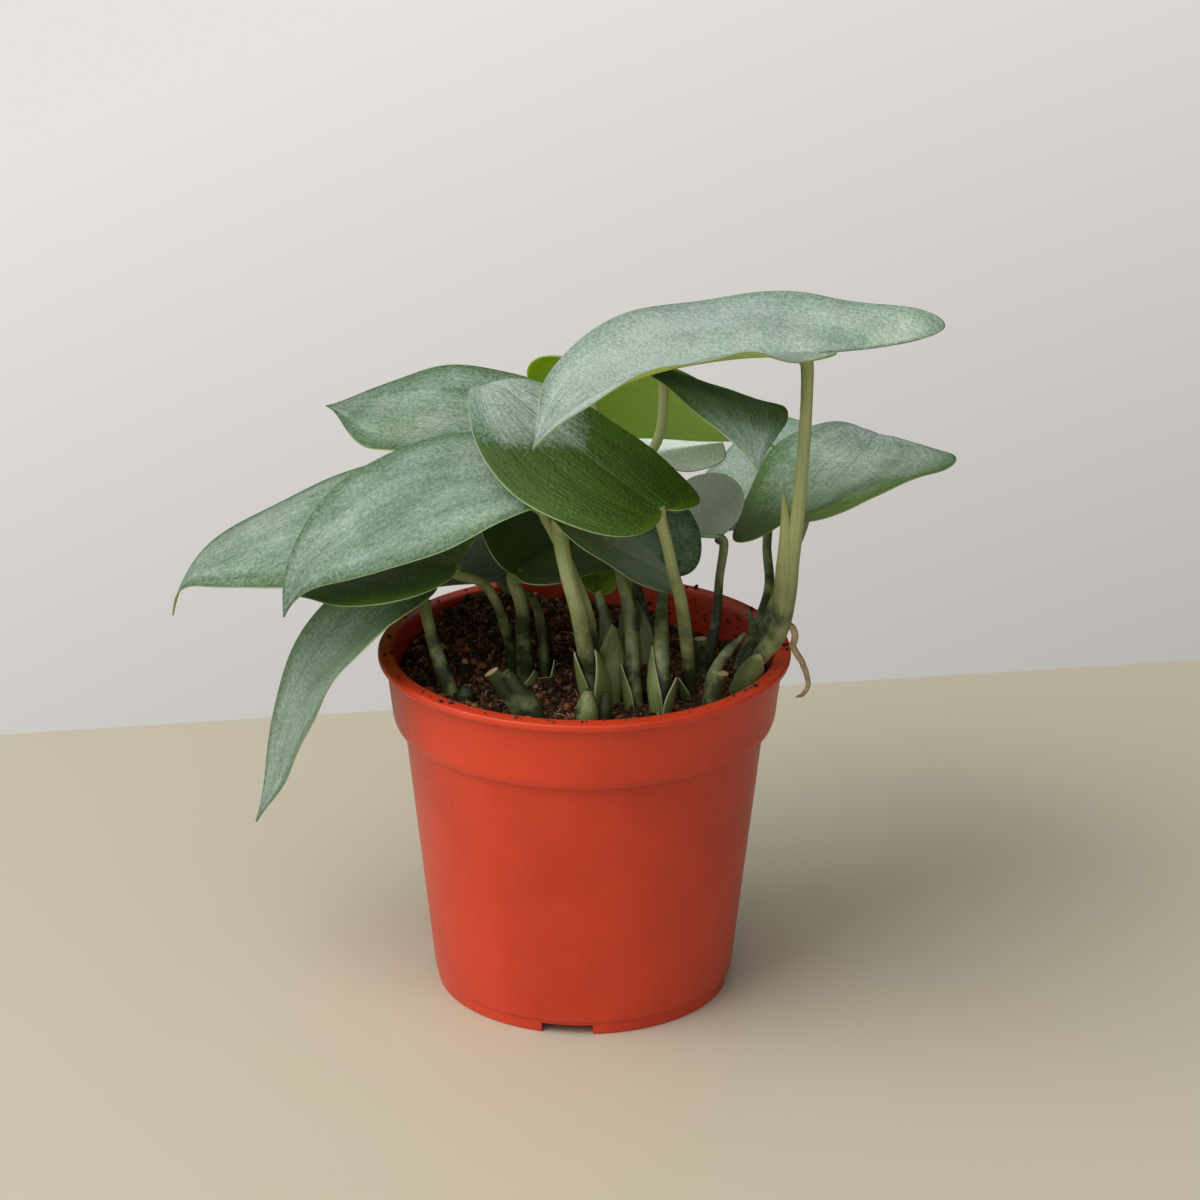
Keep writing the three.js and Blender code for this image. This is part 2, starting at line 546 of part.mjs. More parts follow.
const frontBud = { route: [[1, -42.5, 96], [1, -42.5, 102], [1.5, -42.5, 107.5]], radii: [3.4, 3.2, 1.2] };
const frontBudTwin = { route: [[5, -41.5, 96], [6, -41, 101], [6.5, -40.5, 106]], radii: [2, 1.9, 0.9] };

// Aerial root: leaves the crown stem with a small loop and hangs over the rim
const aerialRoot = {
  route: [
    [54, -20, 118], [57.5, -20, 119], [59.5, -20.5, 117.5], [60, -21, 115], [59.5, -21, 112.5],
    [62, -21, 108], [63.5, -21, 104], [64, -21.5, 100.5], [62.5, -23, 98.5], [60.5, -26, 99],
  ],
  radii: [1.1, 1.1, 1, 1, 1, 0.9, 0.8, 0.7, 0.6, 0.5],
};

addPiece('pot', potSolid(), plastic);
for (const leaf of leaves) {
  const sheet = bladeSheet(leaf);
  addPiece(`${leaf.name}_leaf`, thicken(sheet, BLADE), silver);
  const wide = thicken(sheet, BLADE + 2 * CLEAR);
  standInSoil(`${leaf.name}_stalk`, [stalkTo(leaf), ...(leaf.shoots ?? [])], leaf.sheaths, wide);
}
standInSoil('front_stub', [frontStub, frontStubTwin]);
standInSoil('left_stub', [leftStub]);
standInSoil('back_stub', [backStub]);
standInSoil('right_stub', [rightStub, rightScale]);
standInSoil('crown_scale', [crownScale]);
standInSoil('front_bud', [frontBud, frontBudTwin]);
const crownStalk = stalkTo(leaves[0]);
const crownStem = tube(crownStalk.route, crownStalk.radii, CLEAR);
addPiece('aerial_root', largest(tube(aerialRoot.route, aerialRoot.radii).subtract(crownStem)), rootTan);
addPiece('soil', largest(holes.reduce((soil, hole) => soil.subtract(hole), soilSolid())), earth);

export default plant;
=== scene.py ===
import math
import random

import bpy
import numpy as np
from mathutils import Matrix, Vector, noise


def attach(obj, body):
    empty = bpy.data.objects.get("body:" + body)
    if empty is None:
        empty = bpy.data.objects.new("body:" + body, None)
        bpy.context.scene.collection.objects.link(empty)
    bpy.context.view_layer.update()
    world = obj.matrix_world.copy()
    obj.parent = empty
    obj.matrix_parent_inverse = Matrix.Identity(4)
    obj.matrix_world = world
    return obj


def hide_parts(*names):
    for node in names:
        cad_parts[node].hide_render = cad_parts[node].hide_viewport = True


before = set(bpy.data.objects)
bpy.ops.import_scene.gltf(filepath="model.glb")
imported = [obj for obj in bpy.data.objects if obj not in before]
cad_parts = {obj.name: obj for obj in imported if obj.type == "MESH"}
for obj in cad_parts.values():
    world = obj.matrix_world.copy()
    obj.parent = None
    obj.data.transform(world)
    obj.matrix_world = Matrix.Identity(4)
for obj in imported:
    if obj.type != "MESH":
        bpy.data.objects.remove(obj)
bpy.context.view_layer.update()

# Pot. A 12 cm nursery pot, moulded in one piece of terracotta red plastic with a wall of 1.4 mm.
# A ring is extruded from the disc under the pot over the foot, up the body and the collar, across
# the lip and down the inside. Four notches in the foot ring and eight drain holes are cut out of it.
MM = 0.001                    # the sizes and places of the pieces are written in millimetres
POT_TURNS = 144
DISC_RADIUS = 20
FLOOR = 3
NOTCHES = 4
NOTCH_SIZE = (10, 15, 2 * FLOOR)
NOTCH_RING = 43
FIRST_NOTCH = -96             # degrees, a little left of the front
DRAINS = 8
DRAIN_RADIUS, DRAIN_DEPTH = 3.5, 20
DRAIN_RING = 30
DRAIN_TURNS = 24
SMOOTH_BELOW = 35             # degrees: sharper corners of the pot stay crisp
POT_CORNERS = [               # radius, height and how far the corner is rounded
    (20, 0, 0), (21, 3, 0.4), (41, 3, 0.5), (41.2, 0, 0.6), (43.3, 0, 0.5), (43.5, 3.6, 0.3),
    (44.25, 4.3, 0.5), (52.6, 81.8, 0.5), (55, 82.4, 0.35), (55.8, 84.4, 0.8), (57.7, 100.8, 1),
    (60, 101.6, 0.8), (60, 103.8, 0.7), (55.4, 104, 0.9), (54.8, 102.4, 0.8), (51.2, 80, 2),
    (42.6, 4.4, 1.5), (19.6, 4.4, 0.5), (18.6, 1.4, 0.4), (0.5, 1.4, 0),
]
CORNER_STEPS = 4
TERRACOTTA = (0.63, 0.046, 0.012, 1)
TERRACOTTA_DEEP = (0.51, 0.034, 0.01, 1)
PLASTIC_GLOSS = (0.36, 0.52)  # roughness of the clean plastic and of its scuffs


def add_node(tree, kind, inputs=None, **settings):
    node = tree.nodes.new(kind)
    for name, value in settings.items():
        setattr(node, name, value)
    for name, value in (inputs or {}).items():
        if isinstance(value, bpy.types.NodeSocket):
            tree.links.new(value, node.inputs[name])
        else:
            node.inputs[name].default_value = value
    return node


def new_material(name, roughness, colour=None):
    material = bpy.data.materials.new(name)
    material.use_nodes = True
    shader = material.node_tree.nodes["Principled BSDF"]
    shader.inputs["Roughness"].default_value = roughness
    if colour:
        shader.inputs["Base Color"].default_value = colour
    return material, material.node_tree, shader


def new_group(name, inputs, outputs):
    group = bpy.data.node_groups.new(name, "ShaderNodeTree")
    for label, kind in inputs.items():
        group.interface.new_socket(label, in_out="INPUT", socket_type=kind)
    for label, kind in outputs.items():
        group.interface.new_socket(label, in_out="OUTPUT", socket_type=kind)
    return group, group.nodes.new("NodeGroupInput"), group.nodes.new("NodeGroupOutput")


def math_node(tree, operation, first, second=0.5, clamp=False):
    node = add_node(tree, "ShaderNodeMath", {0: first, 1: second}, operation=operation, use_clamp=clamp)
    return node.outputs[0]


def mix_colours(tree, share, first, second):
    node = add_node(tree, "ShaderNodeMix", {0: share, 6: first, 7: second}, data_type="RGBA")
    return node.outputs[2]


def bump_from(tree, height, distance):
    node = add_node(tree, "ShaderNodeBump", {"Height": height, "Distance": distance, "Strength": 1.0})
    return node.outputs["Normal"]


def ranged(tree, value, start, end, low=0.0, high=1.0):
    """The value's way from start to end, given as a way from low to high and kept between them."""
    node = add_node(tree, "ShaderNodeMapRange", {
        "Value": value, "From Min": start, "From Max": end, "To Min": low, "To Max": high})
    return node.outputs["Result"]


# Mottling is a soft patchy mask. Low and High say where the noise starts and stops to count.
mottling, inside, outside = new_group(
    "mottling",
    {"Vector": "NodeSocketVector", "Scale": "NodeSocketFloat", "Low": "NodeSocketFloat",
     "High": "NodeSocketFloat"},
    {"Mask": "NodeSocketFloat"})
patches = add_node(mottling, "ShaderNodeTexNoise", {
    "Vector": inside.outputs["Vector"], "Scale": inside.outputs["Scale"], "Detail": 4.0, "Roughness": 0.6})
mask = ranged(mottling, patches.outputs["Fac"], inside.outputs["Low"], inside.outputs["High"])
mottling.links.new(mask, outside.inputs["Mask"])


def mottled(tree, vector, scale, low=0.35, high=0.65):
    """A mask with about so many patches to a metre."""
    node = add_node(tree, "ShaderNodeGroup", node_tree=mottling)
    tree.links.new(vector, node.inputs["Vector"])
    for name, value in {"Scale": scale, "Low": low, "High": high}.items():
        node.inputs[name].default_value = value
    return node.outputs["Mask"]


def rounded_outline(corners):
    points = []
    for k, (radius, height, rounding) in enumerate(corners):
        corner = Vector((radius, height))
        if not rounding:
            points.append(corner)
            continue
        start = corner + (Vector(corners[k - 1][:2]) - corner).normalized() * rounding
        end = corner + (Vector(corners[k + 1][:2]) - corner).normalized() * rounding
        for step in range(CORNER_STEPS + 1):
            t = step / CORNER_STEPS
            points.append(start * (1 - t) ** 2 + corner * 2 * t * (1 - t) + end * t * t)
    return points


def cut_away(piece, cutter):
    modifier = piece.modifiers.new("cut", "BOOLEAN")
    modifier.operation = "DIFFERENCE"
    modifier.object = cutter
    bpy.context.view_layer.objects.active = piece
    bpy.ops.object.modifier_apply(modifier=modifier.name)
    bpy.data.objects.remove(cutter)


bpy.ops.object.select_all(action="DESELECT")
bpy.ops.mesh.primitive_circle_add(vertices=POT_TURNS, radius=DISC_RADIUS * MM, fill_type="NGON")
pot = bpy.context.object
pot.name = "pot_shell"
outline = rounded_outline(POT_CORNERS)
bpy.ops.object.mode_set(mode="EDIT")
for before, after in zip(outline, outline[1:]):
    bpy.ops.mesh.extrude_edges_move(TRANSFORM_OT_translate={"value": (0, 0, (after.y - before.y) * MM)})
    spread = after.x / before.x
    bpy.ops.transform.resize(value=(spread, spread, 1), center_override=(0, 0, after.y * MM))
bpy.ops.mesh.edge_face_add()
bpy.ops.mesh.select_all(action="SELECT")
bpy.ops.mesh.normals_make_consistent(inside=False)
bpy.ops.object.mode_set(mode="OBJECT")
for k in range(NOTCHES):
    angle = math.radians(360 / NOTCHES * k + FIRST_NOTCH)
    place = Vector((math.cos(angle), math.sin(angle), 0)) * NOTCH_RING * MM
    bpy.ops.mesh.primitive_cube_add(size=1, location=place, rotation=(0, 0, angle))
    notch = bpy.context.object
    notch.scale = [side * MM for side in NOTCH_SIZE]
    cut_away(pot, notch)
for k in range(DRAINS):
    angle = math.radians(360 / DRAINS * k)
    place = Vector((math.cos(angle), math.sin(angle), 0)) * DRAIN_RING * MM
    bpy.ops.mesh.primitive_cylinder_add(
        vertices=DRAIN_TURNS, radius=DRAIN_RADIUS * MM, depth=DRAIN_DEPTH * MM, location=place)
    cut_away(pot, bpy.context.object)
bpy.ops.object.select_all(action="DESELECT")
pot.select_set(True)
bpy.ops.object.shade_smooth_by_angle(angle=math.radians(SMOOTH_BELOW))

plastic, tree, shader = new_material("terracotta plastic", PLASTIC_GLOSS[0])
spot = add_node(tree, "ShaderNodeTexCoord").outputs["Object"]
cloud = mottled(tree, spot, 22)
tree.links.new(mix_colours(tree, cloud, TERRACOTTA_DEEP, TERRACOTTA), shader.inputs["Base Color"])
scuffs = mottled(tree, spot, 420, 0.5, 0.8)
tree.links.new(ranged(tree, scuffs, 0.0, 1.0, *PLASTIC_GLOSS), shader.inputs["Roughness"])
tree.links.new(bump_from(tree, mottled(tree, spot, 900), 0.00005), shader.inputs["Normal"])
shader.inputs["Specular IOR Level"].default_value = 0.4
pot.data.materials.append(plastic)
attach(pot, "root")
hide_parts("pot")

# Soil. Dark brown peat and coir fill the pot, heaped at the back left and sunk at the back right.
# The top is a grid drawn round to fit the pot and roughened, and the body under it is extruded
# from its edge down to the bottom of the pot.
SOIL_LEVEL = 97
SOIL_CELLS = 190
SOIL_REACH = 53.5             # radius of the soil's top
SOIL_EDGE = 3                 # width of the smoother band at the wall
SOIL_BASE = 4.7
SOIL_SKIRT = 40
SOIL_TAPER = 0.78             # how much narrower the soil is at the bottom of the pot
HEAP = (-30, 36, 7, 500)      # place, height and spread
DIP = (32, 34, -5, 600)
CRUMBLE = (                   # height, closeness and level of the noise
    (0.9, 0.23, 3), (0.8, 0.55, 7), (0.6, 1.3, 11))
PEAT_DARK = (0.016, 0.009, 0.006, 1)
PEAT_BROWN = (0.075, 0.034, 0.019, 1)
COIR_ORANGE = (0.32, 0.13, 0.05, 1)


def swell(x, y, centre_x, centre_y, height, spread):
    return height * np.exp(-((x - centre_x) ** 2 + (y - centre_y) ** 2) / spread)


def soil_height(x, y):
    lumps = 0.7 * np.sin(0.31 * x + 1) * np.cos(0.27 * y) + 0.5 * np.sin(0.55 * y + 0.4 * x)
    return SOIL_LEVEL + swell(x, y, *HEAP) + swell(x, y, *DIP) + lumps


def crumble(x, y):
    return sum(height * noise.noise((x * closeness, y * closeness, level))
               for height, closeness, level in CRUMBLE)


def select_rim():
    bpy.ops.object.mode_set(mode="EDIT")
    bpy.ops.mesh.select_all(action="DESELECT")
    bpy.ops.mesh.select_mode(type="EDGE")
    bpy.ops.mesh.select_non_manifold(extend=False)


def shaped_grid(name, across, along, shape):
    """A grid whose points are moved by shape(across, along), which run from -1 to 1 and from 0 to 1."""
    bpy.ops.object.select_all(action="DESELECT")
    bpy.ops.mesh.primitive_grid_add(x_subdivisions=across, y_subdivisions=along, size=2)
    piece = bpy.context.object
    piece.name = piece.data.name = name
    flat = np.empty(len(piece.data.vertices) * 3)
    piece.data.vertices.foreach_get("co", flat)
    flat = flat.reshape(-1, 3)
    places = shape(flat[:, 0], (flat[:, 1] + 1) / 2) * MM
    piece.data.vertices.foreach_set("co", places.ravel())
    piece.data.update()
    return piece


def soil_top(across, along):
    along = along * 2 - 1
    x = SOIL_REACH * across * np.sqrt(1 - along ** 2 / 2)
    y = SOIL_REACH * along * np.sqrt(1 - across ** 2 / 2)
    rough = np.array([crumble(a, b) for a, b in zip(x, y)])
    edge = np.clip((SOIL_REACH - np.hypot(x, y)) / SOIL_EDGE, 0, 1)
    return np.stack([x, y, soil_height(x, y) + rough * (0.3 + 0.7 * edge)], -1)


soil = shaped_grid("soil_bed", SOIL_CELLS, SOIL_CELLS, soil_top)
select_rim()
bpy.ops.mesh.extrude_edges_move(TRANSFORM_OT_translate={"value": (0, 0, -SOIL_SKIRT * MM)})
bpy.ops.transform.resize(value=(1, 1, 0), center_override=(0, 0, SOIL_BASE * MM))
bpy.ops.transform.resize(value=(SOIL_TAPER, SOIL_TAPER, 1), center_override=(0, 0, SOIL_BASE * MM))
bpy.ops.mesh.edge_face_add()
bpy.ops.mesh.select_all(action="SELECT")
bpy.ops.mesh.normals_make_consistent(inside=False)
bpy.ops.mesh.faces_shade_smooth()
bpy.ops.object.mode_set(mode="OBJECT")

peat, tree, shader = new_material("peat", 0.92)
spot = add_node(tree, "ShaderNodeTexCoord").outputs["Object"]
ground = mix_colours(tree, mottled(tree, spot, 260, 0.4, 0.62), PEAT_DARK, PEAT_BROWN)
flecks = mottled(tree, spot, 900, 0.6, 0.68)
tree.links.new(mix_colours(tree, flecks, ground, COIR_ORANGE), shader.inputs["Base Color"])
tree.links.new(bump_from(tree, mottled(tree, spot, 1100), 0.0006), shader.inputs["Normal"])
shader.inputs["Specular IOR Level"].default_value = 0.2
soil.data.materials.append(peat)
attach(soil, "root")
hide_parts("soil")

# Crumbs. Loose granules of peat and bark lie all over the soil, some on the rim of the pot and
# some stuck inside its wall. One granule of 20 faces is copied, squashed and turned at random, and
# each copy keeps a tone between dark peat and pale bark.
CRUMBS = 6500
CRUMB_REACH = 52.8
CRUMB_SMALLEST, CRUMB_SPREAD = 0.35, 1.1
CRUMB_LIFT = 0.1
RIM_CRUMBS, RIM_CRUMB_SIZE = 90, 0.6
RIM_BAND, RIM_TOP = (55.6, 58.8), 104.1
WALL_CRUMBS, WALL_CRUMB_SIZE = 110, 0.7
WALL_SIDE = (0.75, 0.5)       # radians: where most of them stick, at the back right, and the spread
WALL_FOOT, WALL_RISE = 95, 7  # the lowest height at which they stick, and how far up from there
WALL_POINT = (51.2, 80)       # radius and height of a point on the pot's inner wall
WALL_SLOPE = 0.16
BARK_BROWN = (0.16, 0.062, 0.03, 1)
STRAW = (0.5, 0.33, 0.15, 1)
random.seed(41)


def inside_radius(height):
    return WALL_POINT[0] + WALL_SLOPE * (height - WALL_POINT[1])


def copies(name, shape, placements):
    """One mesh of many copies of a small shape, each with its own matrix and tone."""
    vertices, faces, tones = [], [], []
    base = np.array([vertex.co for vertex in shape.vertices])
    for matrix, tone in placements:
        start = len(vertices) * len(base)
        turned = base @ np.array(matrix.to_3x3()).T + np.array(matrix.translation)
        vertices.append(turned)
        faces += [[start + index for index in face.vertices] for face in shape.polygons]
        tones += [tone] * len(base)
    mesh = bpy.data.meshes.new(name)
    mesh.from_pydata(np.concatenate(vertices), [], faces)
    mesh.attributes.new("tone", "FLOAT", "POINT").data.foreach_set("value", tones)
    piece = bpy.data.objects.new(name, mesh)
    bpy.context.scene.collection.objects.link(piece)
    return piece


def tumbled(place, size):
    turn = Matrix.LocRotScale(None, noise.random_unit_vector().to_track_quat("Z", "Y"), None)
    return Matrix.Translation(place) @ turn @ Matrix.Diagonal((*size, 1))


def on_soil(x, y, lift):
    height = float(soil_height(x, y)) + crumble(x, y) + lift
    return Vector((x, y, height)) * MM


def crumb_size():
    size = CRUMB_SMALLEST + CRUMB_SPREAD * random.random() ** 4
    return [size * random.uniform(0.4, 1.5) * MM for _ in range(3)]


bpy.ops.object.select_all(action="DESELECT")
bpy.ops.mesh.primitive_ico_sphere_add(subdivisions=1, radius=1)
granule = bpy.context.object
noise.seed_set(5)
placements = []
for _ in range(CRUMBS):
    radius, angle = CRUMB_REACH * math.sqrt(random.random()), random.uniform(0, 2 * math.pi)
    place = on_soil(radius * math.cos(angle), radius * math.sin(angle), CRUMB_LIFT)
    placements.append((tumbled(place, crumb_size()), random.random() ** 1.8))
for _ in range(RIM_CRUMBS):
    radius, angle = random.uniform(*RIM_BAND), random.uniform(0, 2 * math.pi)
    place = Vector((radius * math.cos(angle), radius * math.sin(angle), RIM_TOP)) * MM
    size = [side * RIM_CRUMB_SIZE for side in crumb_size()]
    placements.append((tumbled(place, size), random.random() * 0.6))
for _ in range(WALL_CRUMBS):
    angle = random.gauss(*WALL_SIDE)
    height = WALL_FOOT + WALL_RISE * random.random() ** 1.5
    radius = inside_radius(height) - 0.2
    place = Vector((radius * math.cos(angle), radius * math.sin(angle), height)) * MM
    size = [side * WALL_CRUMB_SIZE for side in crumb_size()]
    placements.append((tumbled(place, size), random.random() * 0.5))
crumbs = copies("soil_crumbs", granule.data, placements)
bpy.data.objects.remove(granule)


def toned_material(name, roughness, stops):
    """A matt material whose colour runs through the stops with each copy's tone."""
    material, tree, shader = new_material(name, roughness)
    tone = add_node(tree, "ShaderNodeAttribute", attribute_name="tone").outputs["Fac"]
    ramp = add_node(tree, "ShaderNodeValToRGB", {"Fac": tone}).color_ramp
    ramp.elements.remove(ramp.elements[1])
    for k, (position, colour) in enumerate(stops):
        stop = ramp.elements[0] if k == 0 else ramp.elements.new(position)
        stop.position, stop.color = position, colour
    ramp_node = tree.nodes["Color Ramp"]
    tree.links.new(ramp_node.outputs["Color"], shader.inputs["Base Color"])
    shader.inputs["Specular IOR Level"].default_value = 0.25
    return material


crumbs.data.materials.append(toned_material("peat crumbs", 0.9, [
    (0, PEAT_DARK), (0.35, PEAT_BROWN), (0.65, BARK_BROWN), (0.93, COIR_ORANGE), (1, STRAW)]))
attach(crumbs, "root")

# Fibres. Curly coir threads, straw bits and splinters lie among the crumbs. Each one is a thin
# three-sided thread bent over five short pieces.
FIBRES = 900
FIBRE_STEPS = 5
FIBRE_REACH = 52              # how far from the middle they start
FIBRE_SHORTEST, FIBRE_SPREAD = 1.2, (1.5, 7)
FIBRE_THICK = (0.12, 0.26)    # radius
FIBRE_LIFT = 0.35
FIBRE_CORNERS = (0, 2.1, 4.2)  # radians
threads, thread_faces, thread_tones = [], [], []
for _ in range(FIBRES):
    radius, angle = FIBRE_REACH * math.sqrt(random.random()), random.uniform(0, 2 * math.pi)
    x, y = radius * math.cos(angle), radius * math.sin(angle)
    heading, bend = random.uniform(0, 2 * math.pi), random.gauss(0, 0.5)
    length = random.uniform(*FIBRE_SPREAD) * random.random() + FIBRE_SHORTEST
    thick = random.uniform(*FIBRE_THICK)
    tone = random.random()
    rise = random.uniform(-0.1, 0.5)
    for step in range(FIBRE_STEPS + 1):
        if math.hypot(x, y) > FIBRE_REACH + 1:
            break
        slim = thick * (1 - 0.5 * abs(2 * step / FIBRE_STEPS - 1))
        arch = rise * math.sin(math.pi * step / FIBRE_STEPS) * 2
        centre = on_soil(x, y, FIBRE_LIFT + arch) / MM
        side = Vector((-math.sin(heading), math.cos(heading), 0))
        if step:
            start = len(threads)
            for k in range(3):
                after = (k + 1) % 3
                thread_faces.append([start - 3 + k, start - 3 + after, start + after, start + k])
        for turn in FIBRE_CORNERS:
            corner = side * math.cos(turn) + Vector((0, 0, math.sin(turn)))
            threads.append((centre + corner * slim) * MM)
            thread_tones.append(tone)
        heading += bend
        x += length / FIBRE_STEPS * math.cos(heading)
        y += length / FIBRE_STEPS * math.sin(heading)
mesh = bpy.data.meshes.new("soil_fibres")
mesh.from_pydata(threads, [], thread_faces)
mesh.attributes.new("tone", "FLOAT", "POINT").data.foreach_set("value", thread_tones)
fibres = bpy.data.objects.new("soil_fibres", mesh)
bpy.context.scene.collection.objects.link(fibres)
fibres.data.materials.append(toned_material("coir fibres", 0.8, [
    (0, PEAT_BROWN), (0.4, BARK_BROWN), (0.8, COIR_ORANGE), (1, STRAW)]))
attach(fibres, "root")

# Leaves. Each is one thin blade with a silver bloom over its green. It is drawn over a grid as two
# halves either side of the midrib, which are folded, cupped and waved, and then given its thickness.

# Joint is where the stalk meets the blade. Heading, rise and roll are the blade's direction there, in
# degrees, and swing, droop, curl and twist are how far it turns on the way to its tip. Folds, cup and
# flat shape its halves, and lobes, widest and full its outline. The silver values say how much bloom it
# has, from the stalk to the tip, and also paint light and shade: above 1 they paint a leaf that lies in
# shade bright, and low values leave its green dark. The fresh values say how light its green is there,
# partly its own young green and partly painted light shining through it and painted shade. Wave is the
# height of its edge's waves.

